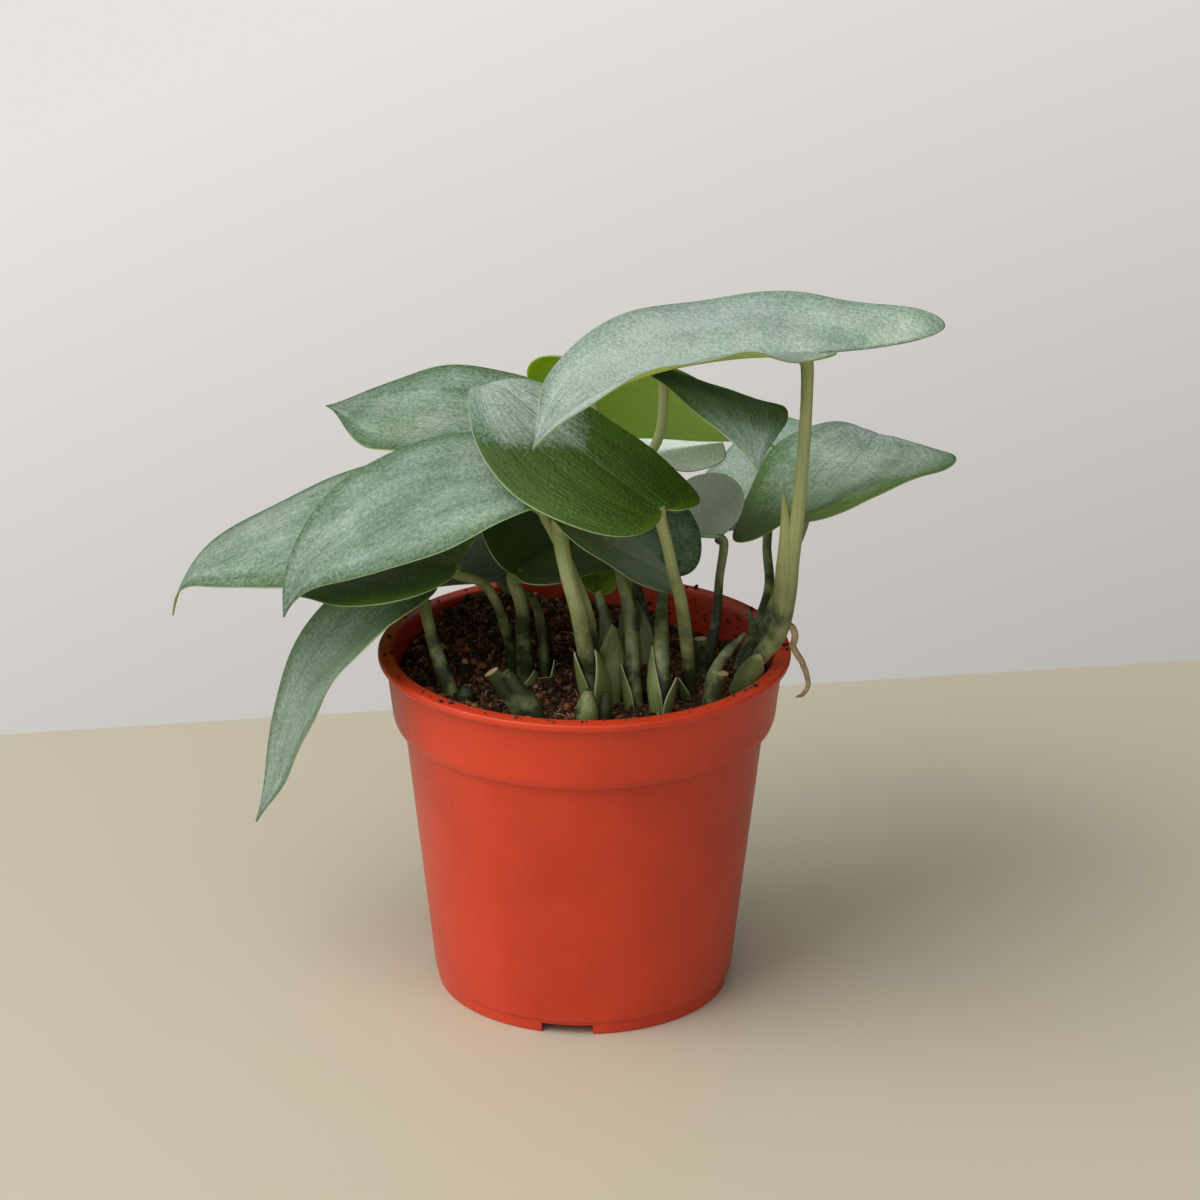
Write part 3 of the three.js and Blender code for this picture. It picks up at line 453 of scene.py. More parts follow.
# The silver, fresh and wave values were set one by one. Nearly all the other values are from a program that
# matched each blade to its outline in the photo, and were then rounded. They weren't chosen as sizes.
LEAVES = [
    dict(name="crown", joint=(61, -36.5, 204.5), heading=178, rise=-1, roll=-10, length=95,
         widths=(67, 63), droop=13, curl=6, swing=69, twist=10, folds=(25, 8), cup=-2, flat=-0.4,
         lobes=(0.08, 0.4), widest=0.24, full=0.81, silver_and_light=(0.8, 1.1), fresh_and_lit=(0.5, 0.3), wave=1.0),
    dict(name="folded", joint=(23, -14, 193), heading=-62, rise=7, roll=-15, length=74,
         widths=(56, 45), droop=29, curl=0, swing=-19, twist=10, folds=(-13, 8), cup=5, flat=0.4,
         lobes=(0.15, 0.12), widest=0.13, full=0.82, silver_and_light=(-0.7, 0.9), fresh_and_lit=(0.9, 0.7), wave=0.5),
    dict(name="arched", joint=(-2, 7.5, 188.5), heading=24, rise=-31, roll=-43, length=72,
         widths=(49, 43), droop=-6, curl=2, swing=0, twist=4, folds=(8, 2), cup=-24, flat=0.4,
         lobes=(0.12, 0.08), widest=0.27, full=0.83, silver_and_light=(-0.3, 0.9), fresh_and_lit=(1, 0.9), wave=0.4),
    # The centre leaf's silver and fresh values are low along its middle, which lies under the crown leaf:
    # partly painted shade
    dict(name="centre", joint=(21, -45, 162.5), heading=143, rise=21, roll=-4, length=80,
         widths=(59, 47), droop=2, curl=67, swing=-13, twist=-1, folds=(8, 3), cup=-24, flat=0.4,
         lobes=(0.06, 0.06), widest=0.31, full=0.89,
         silver_and_light=(-0.6, -0.9, -0.6, 0.7, 1.3), fresh_and_lit=(0.8, 0.2, 0.15, 0.1, 0), wave=0.3),
    dict(name="near_left", joint=(-16.5, -26.5, 167), heading=179, rise=-8, roll=-5, length=86,
         widths=(59, 56), droop=50, curl=21, swing=9, twist=-28, folds=(6, 9), cup=-18, flat=0.4,
         lobes=(0.15, 0.16), widest=0.23, full=0.86, silver_and_light=(0.5, 0.5), fresh_and_lit=(0.2, 0.2), wave=0.4),
    dict(name="high_left", joint=(-19.5, 23.5, 164), heading=151, rise=0, roll=-3, length=76,
         widths=(51, 51), droop=19, curl=-6, swing=-17, twist=-27, folds=(0, 6), cup=-2, flat=0.1,
         lobes=(0.13, 0.16), widest=0.27, full=0.82, silver_and_light=(0.45, 0.45), fresh_and_lit=(0.2, 0.2), wave=0.5),
    dict(name="under", joint=(-36.5, -23, 137.5), heading=127, rise=-15, roll=-27, length=90,
         widths=(63, 65), droop=16, curl=12, swing=4, twist=21, folds=(12, 33), cup=4, flat=0.3,
         lobes=(0.11, 0.07), widest=0.24, full=0.82, silver_and_light=(-0.3, -0.2), fresh_and_lit=(0.5, 0.4), wave=0.4),
    dict(name="hanging", joint=(-47, -12.5, 125.5), heading=161, rise=-34, roll=-20, length=91,
         widths=(62, 55), droop=58, curl=-26, swing=43, twist=17, folds=(13, 4), cup=9, flat=1,
         lobes=(0.12, 0.13), widest=0.23, full=0.85, silver_and_light=(0.3, 0.6), fresh_and_lit=(0.7, 0.1), wave=0.5),
    dict(name="far_left", joint=(-43, -0.5, 155.5), heading=180, rise=-17, roll=-4, length=95,
         widths=(64, 64), droop=18, curl=45, swing=-15, twist=-4, folds=(0, 12), cup=-30, flat=0.4,
         lobes=(0.1, 0.07), widest=0.28, full=0.84, silver_and_light=(0.4, 0.5), fresh_and_lit=(0.2, 0.2), wave=0.4),
    dict(name="tongue", joint=(-6.5, -33, 155.5), heading=40, rise=-35, roll=32, length=60,
         widths=(37, 44), droop=-4, curl=21, swing=7, twist=-2, folds=(10, 13), cup=-3, flat=0,
         lobes=(0.18, 0.12), widest=0.32, full=0.82, silver_and_light=(0.5, 1.2), fresh_and_lit=(0.3, 0.1), wave=0.3),
    dict(name="low", joint=(-19.5, -17, 132.5), heading=75, rise=-7, roll=24, length=73,
         widths=(50, 50), droop=11, curl=17, swing=-4, twist=7, folds=(31, 25), cup=9, flat=0.2,
         lobes=(0.13, 0.15), widest=0.27, full=0.83, silver_and_light=(-0.45, -0.3), fresh_and_lit=(0.25, 0.15), wave=0.3),
    dict(name="dark", joint=(-24, 9, 121.5), heading=153, rise=-12, roll=-6, length=61,
         widths=(42, 42), droop=13, curl=7, swing=-18, twist=1, folds=(21, 24), cup=-7, flat=0.1,
         lobes=(0.08, 0.16), widest=0.24, full=0.87, silver_and_light=(-0.3, -0.3), fresh_and_lit=(0.2, 0.15), wave=0.3),
    dict(name="grey", joint=(23.5, 3.5, 126.5), heading=96, rise=32, roll=-5, length=37,
         widths=(21, 23), droop=17, curl=10, swing=0, twist=-5, folds=(11, 14), cup=-2, flat=0.1,
         lobes=(0.14, 0.1), widest=0.23, full=0.85, silver_and_light=(0.3, 0.5), fresh_and_lit=(0.1, 0.1), wave=0.3),
    # Round and pale lie in shade; their silver values above 1 paint them bright, which is painted light
    dict(name="round", joint=(39.5, 23.5, 129.5), heading=119, rise=-14, roll=-19, length=60,
         widths=(40, 39), droop=3, curl=12, swing=-1, twist=-4, folds=(27, 34), cup=12, flat=0.1,
         lobes=(0.13, 0.1), widest=0.26, full=0.87, silver_and_light=(1.8, 1.8), fresh_and_lit=(0.2, 0.2), wave=0.3),
    dict(name="pale", joint=(23, 19, 152.5), heading=108, rise=-3, roll=0, length=69,
         widths=(46, 44), droop=15, curl=21, swing=1, twist=-3, folds=(7, 11), cup=-6, flat=0.4,
         lobes=(0.18, 0.16), widest=0.26, full=0.85, silver_and_light=(2.1, 2.1), fresh_and_lit=(0.6, 0.5), wave=0.6),
    dict(name="back", joint=(54, 66, 124.5), heading=90, rise=11, roll=-26, length=66,
         widths=(43, 43), droop=16, curl=-2, swing=3, twist=-10, folds=(13, 12), cup=-5, flat=0.3,
         lobes=(0.18, 0.14), widest=0.22, full=0.84, silver_and_light=(0.7, 0.7), fresh_and_lit=(0.4, 0.4), wave=0.4),
    dict(name="right", joint=(63.5, 28, 135.5), heading=56, rise=11, roll=-20, length=88,
         widths=(55, 64), droop=26, curl=27, swing=29, twist=39, folds=(3, 3), cup=-1, flat=0.2,
         lobes=(0.19, 0.11), widest=0.35, full=0.88,
         silver_and_light=(-0.6, 0.1, 0.7, 0.9), fresh_and_lit=(0.3, 0.4), wave=0.5),
    # The young leaf's fresh values above 1 paint light shining through it
    dict(name="young", joint=(4, 3.5, 119.5), heading=94, rise=9, roll=2, length=21,
         widths=(14, 14), droop=14, curl=23, swing=1, twist=-4, folds=(28, 22), cup=5, flat=0.2,
         lobes=(0.12, 0.15), widest=0.24, full=0.84, silver_and_light=(-0.3, -0.3), fresh_and_lit=(1.8, 1.8), wave=0.1),
]
BLADE = 0.5                   # thickness of a blade
ACROSS, ALONG = 28, 52        # cells of the grid that a blade starts from
MIDRIB_STEPS = 160
MERGE_WITHIN = 0.00001        # metres
OUTLINE_STEPS = (3, 3, 5)     # steps of the edge from stalk to lobe, to the widest point, to the tip
WAVES = 2.6                   # waves along an edge
RIPPLE = 0.8                  # height of the ripples, as a share of the waves' height
VEINS = 7                     # side veins to a half
VEIN_SLANT, VEIN_DEPTH = 0.45, 0.09
GROOVE_WIDTH, GROOVE_DEPTH = 0.9, 0.35  # of the groove over the midrib
MASK_SPAN = (0.15, 0.95)      # shares of the blade between which silver and fresh run


def ease(value, start, end):
    t = np.clip((value - start) / (end - start), 0, 1)
    return t * t * (3 - 2 * t)


def bezier(a, b, c, d, t):
    s = 1 - t
    a, b, c, d = (np.array(point) for point in (a, b, c, d))
    t, s = t[:, None], s[:, None]
    return s ** 3 * a + 3 * s * s * t * b + 3 * s * t * t * c + t ** 3 * d


def edge_of(lobe, widest, full, step):
    """The edge of one half: its place along the midrib and its distance from it, as shares."""
    first, second, third = OUTLINE_STEPS
    to_lobe = bezier((0, 0), (-lobe / 2, 0.1), (-lobe, 0.16), (-lobe, 0.42), np.clip(step / first, 0, 1))
    to_side = bezier((-lobe, 0.42), (-lobe, 0.78), (widest - 0.2, 1), (widest, 1),
                     np.clip((step - first) / second, 0, 1))
    to_tip = bezier((widest, 1), (widest + 0.36, 1), (full, 0.1), (1, 0),
                    np.clip((step - first - second) / third, 0, 1))
    near, far = (step < first)[:, None], (step >= first + second)[:, None]
    return np.where(near, to_lobe, np.where(far, to_tip, to_side))


def midrib_frames(leaf):
    """Where the midrib runs, and which way it, the right half and the upper face point along it."""
    s = np.linspace(0, 1, MIDRIB_STEPS + 1)
    pitch = np.radians(leaf["rise"] - leaf["droop"] * s ** 1.3 - leaf["curl"] * ease(s, 0.72, 1))
    turn = np.radians(leaf["heading"] + leaf["swing"] * s)
    roll = np.radians(leaf["roll"] + leaf["twist"] * s)[:, None]
    along = np.stack([np.cos(pitch) * np.cos(turn), np.cos(pitch) * np.sin(turn), np.sin(pitch)], -1)
    level = np.stack([np.sin(turn), -np.cos(turn), 0 * turn], -1)
    upright = np.cross(level, along)
    right = np.cos(roll) * level - np.sin(roll) * upright
    up = np.sin(roll) * level + np.cos(roll) * upright
    strides = (along[1:] + along[:-1]) / 2 * leaf["length"] / MIDRIB_STEPS
    place = np.array(leaf["joint"]) + np.concatenate([np.zeros((1, 3)), np.cumsum(strides, 0)])
    return s, place, along, right, up


def leaf_shape(leaf):
    """The blade's middle surface, and the ripples of its veins and edge, for shaped_grid."""
    stations, *tracks = midrib_frames(leaf)
    last = sum(OUTLINE_STEPS)
    fan = OUTLINE_STEPS[0] + OUTLINE_STEPS[1] / 2
    phase = noise.noise(Vector(leaf["joint"]) * 0.37) * 3

    def shape(across, along):
        step, share = along * last, np.abs(across)
        root = np.clip((step - fan) / (last - fan), 0, 1) ** 1.15
        on_left = across < 0
        edge = np.where(
            on_left[:, None], edge_of(leaf["lobes"][0], leaf["widest"], leaf["full"], step),
            edge_of(leaf["lobes"][1], leaf["widest"], leaf["full"], step))
        half = np.where(on_left, leaf["widths"][0], leaf["widths"][1]) / 2
        fold = np.where(on_left, leaf["folds"][0], leaf["folds"][1])
        x = root * (1 - share) + edge[:, 0] * share
        y = edge[:, 1] * share * half
        s = np.clip(x, 0, 1)
        place, forward, right, up = (
            np.stack([np.interp(s, stations, track[:, k]) for k in range(3)], -1) for track in tracks)
        lift = np.radians(fold * (1 - leaf["flat"] * s)) + np.radians(leaf["cup"]) * (y / half) * 0.5
        side = np.where(on_left, -1, 1)
        outward = side[:, None] * right * np.cos(lift)[:, None] + up * np.sin(lift)[:, None]
        normal = up * np.cos(lift)[:, None] - side[:, None] * right * np.sin(lift)[:, None]
        slope = share - VEIN_SLANT * s
        vein = np.cos(math.pi * VEINS * slope) ** 8 * np.clip(y / 4, 0, 1) * (1 - share ** 4)
        edge_wave = np.sin(2 * math.pi * (WAVES * x + phase + 0.3 * side)) * share ** 3
        groove = np.exp(-(y / GROOVE_WIDTH) ** 2) * ease(s, 0.02, 0.15) * (1 - s ** 3)
        ripple = np.array([noise.noise((a * 5, b * 3, phase)) for a, b in zip(x, across)])
        height = (leaf["wave"] * edge_wave * np.clip(y / 8, 0, 1) * (1 - s ** 6)
                  + leaf["wave"] * RIPPLE * ripple * np.clip(y / 5, 0, 1)
                  - VEIN_DEPTH * vein - GROOVE_DEPTH * groove)
        return (place + forward * (np.minimum(x, 0) * leaf["length"])[:, None]
                + outward * y[:, None] + normal * height[:, None])

    return shape


def from_the_middle(tree, layout):
    """How far a point of the layout lies from its middle line, and its two places in the layout."""
    split = add_node(tree, "ShaderNodeSeparateXYZ", {0: layout})
    across, along = split.outputs["X"], split.outputs["Y"]
    return math_node(tree, "ABSOLUTE", math_node(tree, "SUBTRACT", across, 0.5)), across, along


# Streaks run from the stalk to the tip, finer across than along, as the leaf's fibres do.
STREAK_SLANT = 0.12
streaking, inside, outside = new_group(
    "streaking", {"Map": "NodeSocketVector", "Across": "NodeSocketFloat", "Along": "NodeSocketFloat"},
    {"Mask": "NodeSocketFloat"})
from_middle, across, along = from_the_middle(streaking, inside.outputs["Map"])
slant = math_node(streaking, "MULTIPLY", along, STREAK_SLANT)
slanted = math_node(streaking, "SUBTRACT", from_middle, slant)
stretched = add_node(streaking, "ShaderNodeCombineXYZ", {
    "X": math_node(streaking, "MULTIPLY", slanted, inside.outputs["Across"]),
    "Y": math_node(streaking, "MULTIPLY", along, inside.outputs["Along"]),
    "Z": math_node(streaking, "GREATER_THAN", across, 0.5)})
lines = add_node(streaking, "ShaderNodeTexNoise", {
    "Vector": stretched.outputs[0], "Scale": 1.0, "Detail": 3.0, "Roughness": 0.55})
streaking.links.new(ranged(streaking, lines.outputs["Fac"], 0.3, 0.7), outside.inputs["Mask"])


def streaked(tree, layout, across, along):
    node = add_node(tree, "ShaderNodeGroup", node_tree=streaking)
    tree.links.new(layout, node.inputs["Map"])
    node.inputs["Across"].default_value = across
    node.inputs["Along"].default_value = along
    return node.outputs["Mask"]


DEEP_GREEN = (0.013, 0.035, 0.003, 1)
FRESH_GREEN = (0.15, 0.28, 0.008, 1)
# Painted light: the bright lime of light shining through a young leaf
PAINTED_BACKLIT_LIME = (0.5, 0.75, 0.1, 1)
SHADED_GREEN = (0.03, 0.1, 0.05, 1)
SILVER = (0.44, 0.55, 0.44, 1)
BLUE_SILVER = (0.36, 0.45, 0.4, 1)
# Painted light: a near white that makes leaves lying in shade look lit
PAINTED_LIT_SILVER = (0.75, 0.85, 0.74, 1)
VEIN_GREEN = (0.12, 0.19, 0.08, 1)
# Underside greens: the green is partly its own and partly painted light shining through the leaf; the pale
# is partly its own and partly painted sheen
UNDER_GREEN_AND_LIT_THROUGH = (0.24, 0.37, 0.006, 1)
UNDER_PALE_AND_SHEEN = (0.42, 0.48, 0.16, 1)
# Margin green: partly the edge's own colour and partly a painted highlight where the edge catches light
EDGE_PALE_AND_LIT = (0.22, 0.29, 0.13, 1)
NET_CELLS = 620.0             # cells of the fine net to a metre
BLOOM_START = 0.58            # silver and unevenness from which the bloom shows
LEAF_GRAIN = 0.0002


def leaf_top_material():
    material, tree, shader = new_material("silver leaf", 0.5)
    layout = add_node(tree, "ShaderNodeUVMap").outputs[0]
    spot = add_node(tree, "ShaderNodeTexCoord").outputs["Object"]
    silver_and_light = add_node(tree, "ShaderNodeAttribute", attribute_name="silver_and_light").outputs["Fac"]
    fresh_and_lit = add_node(tree, "ShaderNodeAttribute", attribute_name="fresh_and_lit").outputs["Fac"]
    patches, specks = mottled(tree, spot, 55, 0.3, 0.7), mottled(tree, spot, 900, 0.35, 0.7)
    broad, fine = streaked(tree, layout, 9, 1.6), streaked(tree, layout, 45, 9)
    cells = add_node(tree, "ShaderNodeTexVoronoi", {
        "Vector": spot, "Scale": NET_CELLS}, feature="DISTANCE_TO_EDGE")
    net = ranged(tree, cells.outputs["Distance"], 0.0, 0.16)

    # The silver bloom is uneven, and thins out towards the edge. The green band this leaves at the edge is
    # partly the leaf's own green margin and partly painted shade where the edge curls down under the next
    # leaf
    uneven = math_node(tree, "MULTIPLY", net, 0.05)
    for share, mask in ((0.42, patches), (0.16, broad), (0.12, fine), (0.3, specks)):
        uneven = math_node(tree, "ADD", uneven, math_node(tree, "MULTIPLY", mask, share))
    from_middle, _, _ = from_the_middle(tree, layout)
    thin_and_shaded_edge = math_node(tree, "MULTIPLY", ranged(tree, from_middle, 0.36, 0.5, 0.0, 0.5),
                     math_node(tree, "ADD", patches, 0.3))
    uneven = math_node(tree, "SUBTRACT", uneven, thin_and_shaded_edge)
    bloom = math_node(tree, "SUBTRACT", math_node(tree, "ADD", silver_and_light, uneven), BLOOM_START, clamp=True)
    worn = math_node(tree, "ADD", math_node(tree, "MULTIPLY", specks, 0.25), 0.8)
    bloom = math_node(tree, "MULTIPLY", bloom, worn, clamp=True)

    # The green under it is lighter in streaks and where the fresh values are higher, partly its own young
    # green and partly painted light and shade, and bluer where there is more silver
    flecks = math_node(tree, "MULTIPLY", specks, math_node(tree, "MULTIPLY", fine, 0.25))
    light = math_node(tree, "MULTIPLY", fresh_and_lit, math_node(tree, "ADD", broad, 0.4))
    green = mix_colours(tree, math_node(tree, "ADD", light, flecks, clamp=True), DEEP_GREEN, FRESH_GREEN)
    # Past 1 the fresh values mix in the bright lime, painted light shining through the leaf
    green = mix_colours(tree, math_node(tree, "SUBTRACT", fresh_and_lit, 1.0, clamp=True), green, PAINTED_BACKLIT_LIME)
    green = mix_colours(tree, math_node(tree, "ADD", silver_and_light, 0.0, clamp=True), green, SHADED_GREEN)
    cool = mix_colours(tree, mottled(tree, spot, 26, 0.35, 0.65), SILVER, BLUE_SILVER)
    # Past 1.1 the silver values mix in that near white, painted light on leaves in shade
    cool = mix_colours(tree, math_node(tree, "SUBTRACT", silver_and_light, 1.1, clamp=True), cool, PAINTED_LIT_SILVER)
    colour = mix_colours(tree, bloom, green, cool)
    # A thin pale line along the edge, partly the margin's own colour and partly a painted highlight where
    # the edge catches light
    margin = math_node(tree, "GREATER_THAN", from_middle, 0.49)
    colour = mix_colours(tree, math_node(tree, "MULTIPLY", margin, 0.15), colour, EDGE_PALE_AND_LIT)
    colour = mix_colours(tree, ranged(tree, from_middle, 0.0, 0.016, 0.5, 0.0), colour, VEIN_GREEN)
    tree.links.new(colour, shader.inputs["Base Color"])

    grain = math_node(tree, "MULTIPLY", net, 0.15)
    for mask in (fine, specks, streaked(tree, layout, 7, 30)):
        grain = math_node(tree, "ADD", grain, mask)
    tree.links.new(bump_from(tree, grain, LEAF_GRAIN), shader.inputs["Normal"])
    shader.inputs["Specular IOR Level"].default_value = 0.35
    return material


def leaf_under_material():
    material, tree, shader = new_material("leaf underside", 0.6)
    layout = add_node(tree, "ShaderNodeUVMap").outputs[0]
    silver_and_light = add_node(tree, "ShaderNodeAttribute", attribute_name="silver_and_light").outputs["Fac"]
    # Paler in streaks and where the silver values are higher: the streaks are the leaf's own, the rest is a
    # painted sheen
    lines = math_node(tree, "MULTIPLY", streaked(tree, layout, 30, 2), 0.25)
    pale = math_node(tree, "ADD", lines, silver_and_light, clamp=True)
    tree.links.new(mix_colours(tree, pale, UNDER_GREEN_AND_LIT_THROUGH, UNDER_PALE_AND_SHEEN), shader.inputs["Base Color"])
    shader.inputs["Specular IOR Level"].default_value = 0.08
    shader.inputs["Subsurface Weight"].default_value = 0.6
    shader.inputs["Subsurface Radius"].default_value = (0.7, 1.0, 0.1)
    shader.inputs["Subsurface Scale"].default_value = 0.002
    return material


leaf_finishes = [leaf_top_material(), leaf_under_material(), new_material("leaf margin", 0.5, EDGE_PALE_AND_LIT)[0]]


def make_leaf(leaf):
    piece = shaped_grid(f"{leaf['name']}_blade", ACROSS, ALONG, leaf_shape(leaf))
    along = np.repeat(np.linspace(0, 1, ALONG + 1), ACROSS + 1)
    # Both masks are partly the leaf's own colour and partly painted light and shade
    for mask in ("silver_and_light", "fresh_and_lit"):
        stops = np.linspace(*MASK_SPAN, len(leaf[mask]))
        values = piece.data.attributes.new(mask, "FLOAT", "POINT")
        values.data.foreach_set("value", np.interp(along, stops, leaf[mask]))
    for finish in leaf_finishes:
        piece.data.materials.append(finish)
    bpy.ops.object.mode_set(mode="EDIT")
    bpy.ops.mesh.select_all(action="SELECT")
    bpy.ops.mesh.remove_doubles(threshold=MERGE_WITHIN)
    bpy.ops.mesh.faces_shade_smooth()
    bpy.ops.object.mode_set(mode="OBJECT")
    wall = piece.modifiers.new("thickness", "SOLIDIFY")
    wall.thickness, wall.offset = BLADE * MM, 0
    wall.material_offset, wall.material_offset_rim = 1, 2
    smooth = piece.modifiers.new("smooth", "SUBSURF")
    smooth.levels = smooth.render_levels = 1
    for modifier in (wall, smooth):
        bpy.ops.object.modifier_apply(modifier=modifier.name)
    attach(piece, "root")
    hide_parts(f"{leaf['name']}_leaf")


for leaf in LEAVES:
    make_leaf(leaf)

# Stalks. Each leaf stands on its own satin green stalk, which comes out of the soil, is dark at the
# foot and flares where it joins the blade. A stalk is a grid rolled up round a smooth line of points,
# which goes on from the last point given to a neck under the blade and to its seat on the blade.
STALKS = {
    "crown": dict(
        route=[(45.5, -17, 97), (49.5, -18, 106.5), (55, -19.5, 116), (57.5, -22, 127), (58.5, -25, 140),
               (59.5, -28, 153.5), (60.5, -31, 172), (61, -34, 190.5)],
        radii=[3, 2.2, 2.8, 2.3, 2, 1.9, 1.7, 1.6], flare=2.2),
    "folded": dict(
        route=[(14.5, -29, 97), (14, -27, 108), (13, -20.5, 120.5), (10.5, -13, 131), (6.5, -2.5, 143.5),
               (9, -1, 153), (17, -8.5, 164), (21, -12.5, 173), (22, -14, 183.5)],
        radii=[2.4, 2.1, 1.8, 1.6, 1.5, 1.4, 1.4, 1.4, 1.3]),
    "arched": dict(
        route=[(15, 9, 96), (14, 4, 112.5), (13, 2, 124.5), (10.5, 2, 140.5), (8, 3, 151.5), (4.5, 5, 166)],
        radii=[1.6, 1.4, 1.3, 1.3, 1.3, 1.2]),
    "centre": dict(
        route=[(30.5, -21, 96.5), (29.5, -24, 111), (27, -31, 131), (25, -35, 139.5), (23, -40, 150)],
        radii=[2, 1.9, 1.7, 1.6, 1.5]),
    "near_left": dict(
        route=[(3.5, -22.5, 97), (2.4, -28.5, 117), (0.4, -32, 129), (-2.6, -32.5, 137), (-6.5, -30, 145.5),
               (-11.5, -25.5, 154)],
        radii=[1.9, 1.7, 1.5, 1.5, 1.5, 1.5]),
    "high_left": dict(
        route=[(10, 6, 96), (12.5, 14, 114), (11.5, 18.5, 126), (5.5, 21, 137.5), (-7.5, 23, 152.5)],
        radii=[1.6, 1.5, 1.4, 1.4, 1.3]),
    "under": dict(
        route=[(-20.5, -4.5, 97), (-22, -6, 108), (-25, -10, 120.5), (-29, -15, 129)],
        radii=[1.8, 1.5, 1.4, 1.3]),
    "hanging": dict(
        route=[(-38, -22.5, 97), (-41.5, -21, 108), (-44, -18, 116)], radii=[2.4, 2, 1.6]),
    "far_left": dict(
        route=[(0, -19.5, 97), (0.3, -23.8, 115), (-0.8, -27.8, 128), (-2.5, -28.6, 134.5),
               (-5.5, -26, 142), (-10, -20.5, 150.5), (-17.5, -21.5, 156), (-26, -24, 156),
               (-33.5, -19, 154.5), (-39, -7.5, 153.2)],
        radii=[1.5, 1.4, 1.2, 1.2, 1.2, 1.3, 1.3, 1.3, 1.2, 1.2]),
    "tongue": dict(
        route=[(3.5, -30, 97), (0.3, -35, 117), (-1.7, -37, 129), (-5, -37, 141.5)],
        radii=[2.7, 2.3, 2.2, 2]),
    "low": dict(route=[(-17, -10, 96), (-17.5, -11, 110), (-18, -13, 121.5)], radii=[2.3, 2.2, 1.8]),
    "dark": dict(route=[(-11.5, -8, 96), (-12.5, -4, 111), (-15, 2, 117.5)], radii=[1.5, 1.4, 1.2]),
    "grey": dict(
        route=[(22, -33, 97), (22, -32, 106), (22, -26.5, 115), (22, -19, 118.5), (22.5, -5, 120),
               (23, 1, 121.5)],
        radii=[2.3, 2.4, 2.1, 1.8, 1.5, 1.4]),
    "round": dict(
        route=[(36.5, 9, 95), (38.5, 13, 107), (39.5, 19, 118)], radii=[1.6, 1.4, 1.2], neck=1.8),
    "pale": dict(
        route=[(19, 3, 96), (17.5, 8.5, 109.5), (12.5, 14.5, 125.5), (11, 17, 135), (13.5, 18.5, 142)],
        radii=[1.7, 1.6, 1.4, 1.3, 1.3]),
    "back": dict(
        route=[(45, 1, 97), (48.5, 7, 104), (52, 14, 109), (54.5, 26, 113), (54.5, 46, 117.5)],
        radii=[1.6, 1.5, 1.5, 1.4, 1.3]),
    "right": dict(
        route=[(46, -5.5, 97), (51, 1, 107), (56, 11, 115), (61, 22, 125)], radii=[1.8, 1.7, 1.6, 1.4]),
    "young": dict(route=[(5.5, 1, 96), (5.5, 2, 105), (5, 3, 113)], radii=[1.3, 1.1, 0.9]),
}
# A shoot stands by the tongue leaf's stalk, and a sheath clings to the crown's
TALL_SHOOT = dict(
    route=[(7.5, -27, 97), (8, -22.5, 109), (6.4, -18, 118), (4, -14.5, 126.5)],
    radii=[2.2, 2.6, 1.6, 1])
CROWN_SHEATH = dict(
    route=[(55.5, -21.5, 119), (56, -22.5, 128), (56.5, -24.5, 138), (56.5, -26.5, 151),
           (55.5, -28, 161.5)],
    radii=[1.2, 2.6, 2.4, 1.6, 0.4])
ROUND = 20                    # sides of a stalk
PIECES = 9                    # rings from one point of a route to the next
LOOK_AHEAD = 0.004            # share of a route over which its direction is taken
ROOT_DEPTH = 6                # how far a stalk goes on under the soil
ROOT_LEAN = 0.4               # how much of the stalk's lean its root keeps
NECK = 3.2                    # how far under the blade the stalk's neck is
SEAT, SEAT_DEPTH = 1.0, 0.5   # how far along the blade and under its middle the stalk ends
THROAT = 0.6                  # where it widens, as a share of the way from neck to seat
FLARE = 1.35                  # how much wider a stalk is where it joins the blade
NECK_WIDTH, THROAT_WIDTH = 1.1, 1.35
STALK_SMOOTH = 50             # degrees: sharper corners of stalks and stubs stay crisp
GROOVE_AT, GROOVE_SPREAD = 0.9, 0.3  # radians round the stalk


def smooth_line(points, share):
    """Points at the given shares of a smooth line through all the points given."""
    knots = np.array(points, float)
    knots = np.concatenate([[2 * knots[0] - knots[1]], knots, [2 * knots[-1] - knots[-2]]])
    spot = np.clip(share, 0, 1) * (len(points) - 1)
    k = np.minimum(spot.astype(int), len(points) - 2)
    t = (spot - k)[:, None]
    p0, p1, p2, p3 = (knots[k + j] for j in range(4))
    d0, d1, d2 = (
        np.linalg.norm(b - a, axis=1)[:, None] ** 0.5 for a, b in ((p0, p1), (p1, p2), (p2, p3)))
    m1 = ((p1 - p0) / d0 - (p2 - p0) / (d0 + d1) + (p2 - p1) / d1) * d1
    m2 = ((p2 - p1) / d1 - (p3 - p1) / (d1 + d2) + (p3 - p2) / d2) * d1
    return (p1 + m1 * t + (3 * (p2 - p1) - 2 * m1 - m2) * t ** 2 + (m1 + m2 - 2 * (p2 - p1)) * t ** 3)


def rings_along(route, share):
    """Centres of the rings at these shares of the route, and two directions across each."""
    centre = smooth_line(route, share)
    before, after = np.maximum(share - LOOK_AHEAD, 0), np.minimum(share + LOOK_AHEAD, 1)
    ahead = smooth_line(route, after) - smooth_line(route, before)
    ahead /= np.linalg.norm(ahead, axis=1)[:, None]
    first = np.cross(ahead, (0, 1, 0))
    first /= np.linalg.norm(first, axis=1)[:, None]
    return centre, first, np.cross(ahead, first)


def merge_and_turn_out():
    bpy.ops.object.mode_set(mode="EDIT")
    bpy.ops.mesh.select_all(action="SELECT")
    bpy.ops.mesh.remove_doubles(threshold=MERGE_WITHIN)
    bpy.ops.mesh.normals_make_consistent(inside=False)
    bpy.ops.object.mode_set(mode="OBJECT")


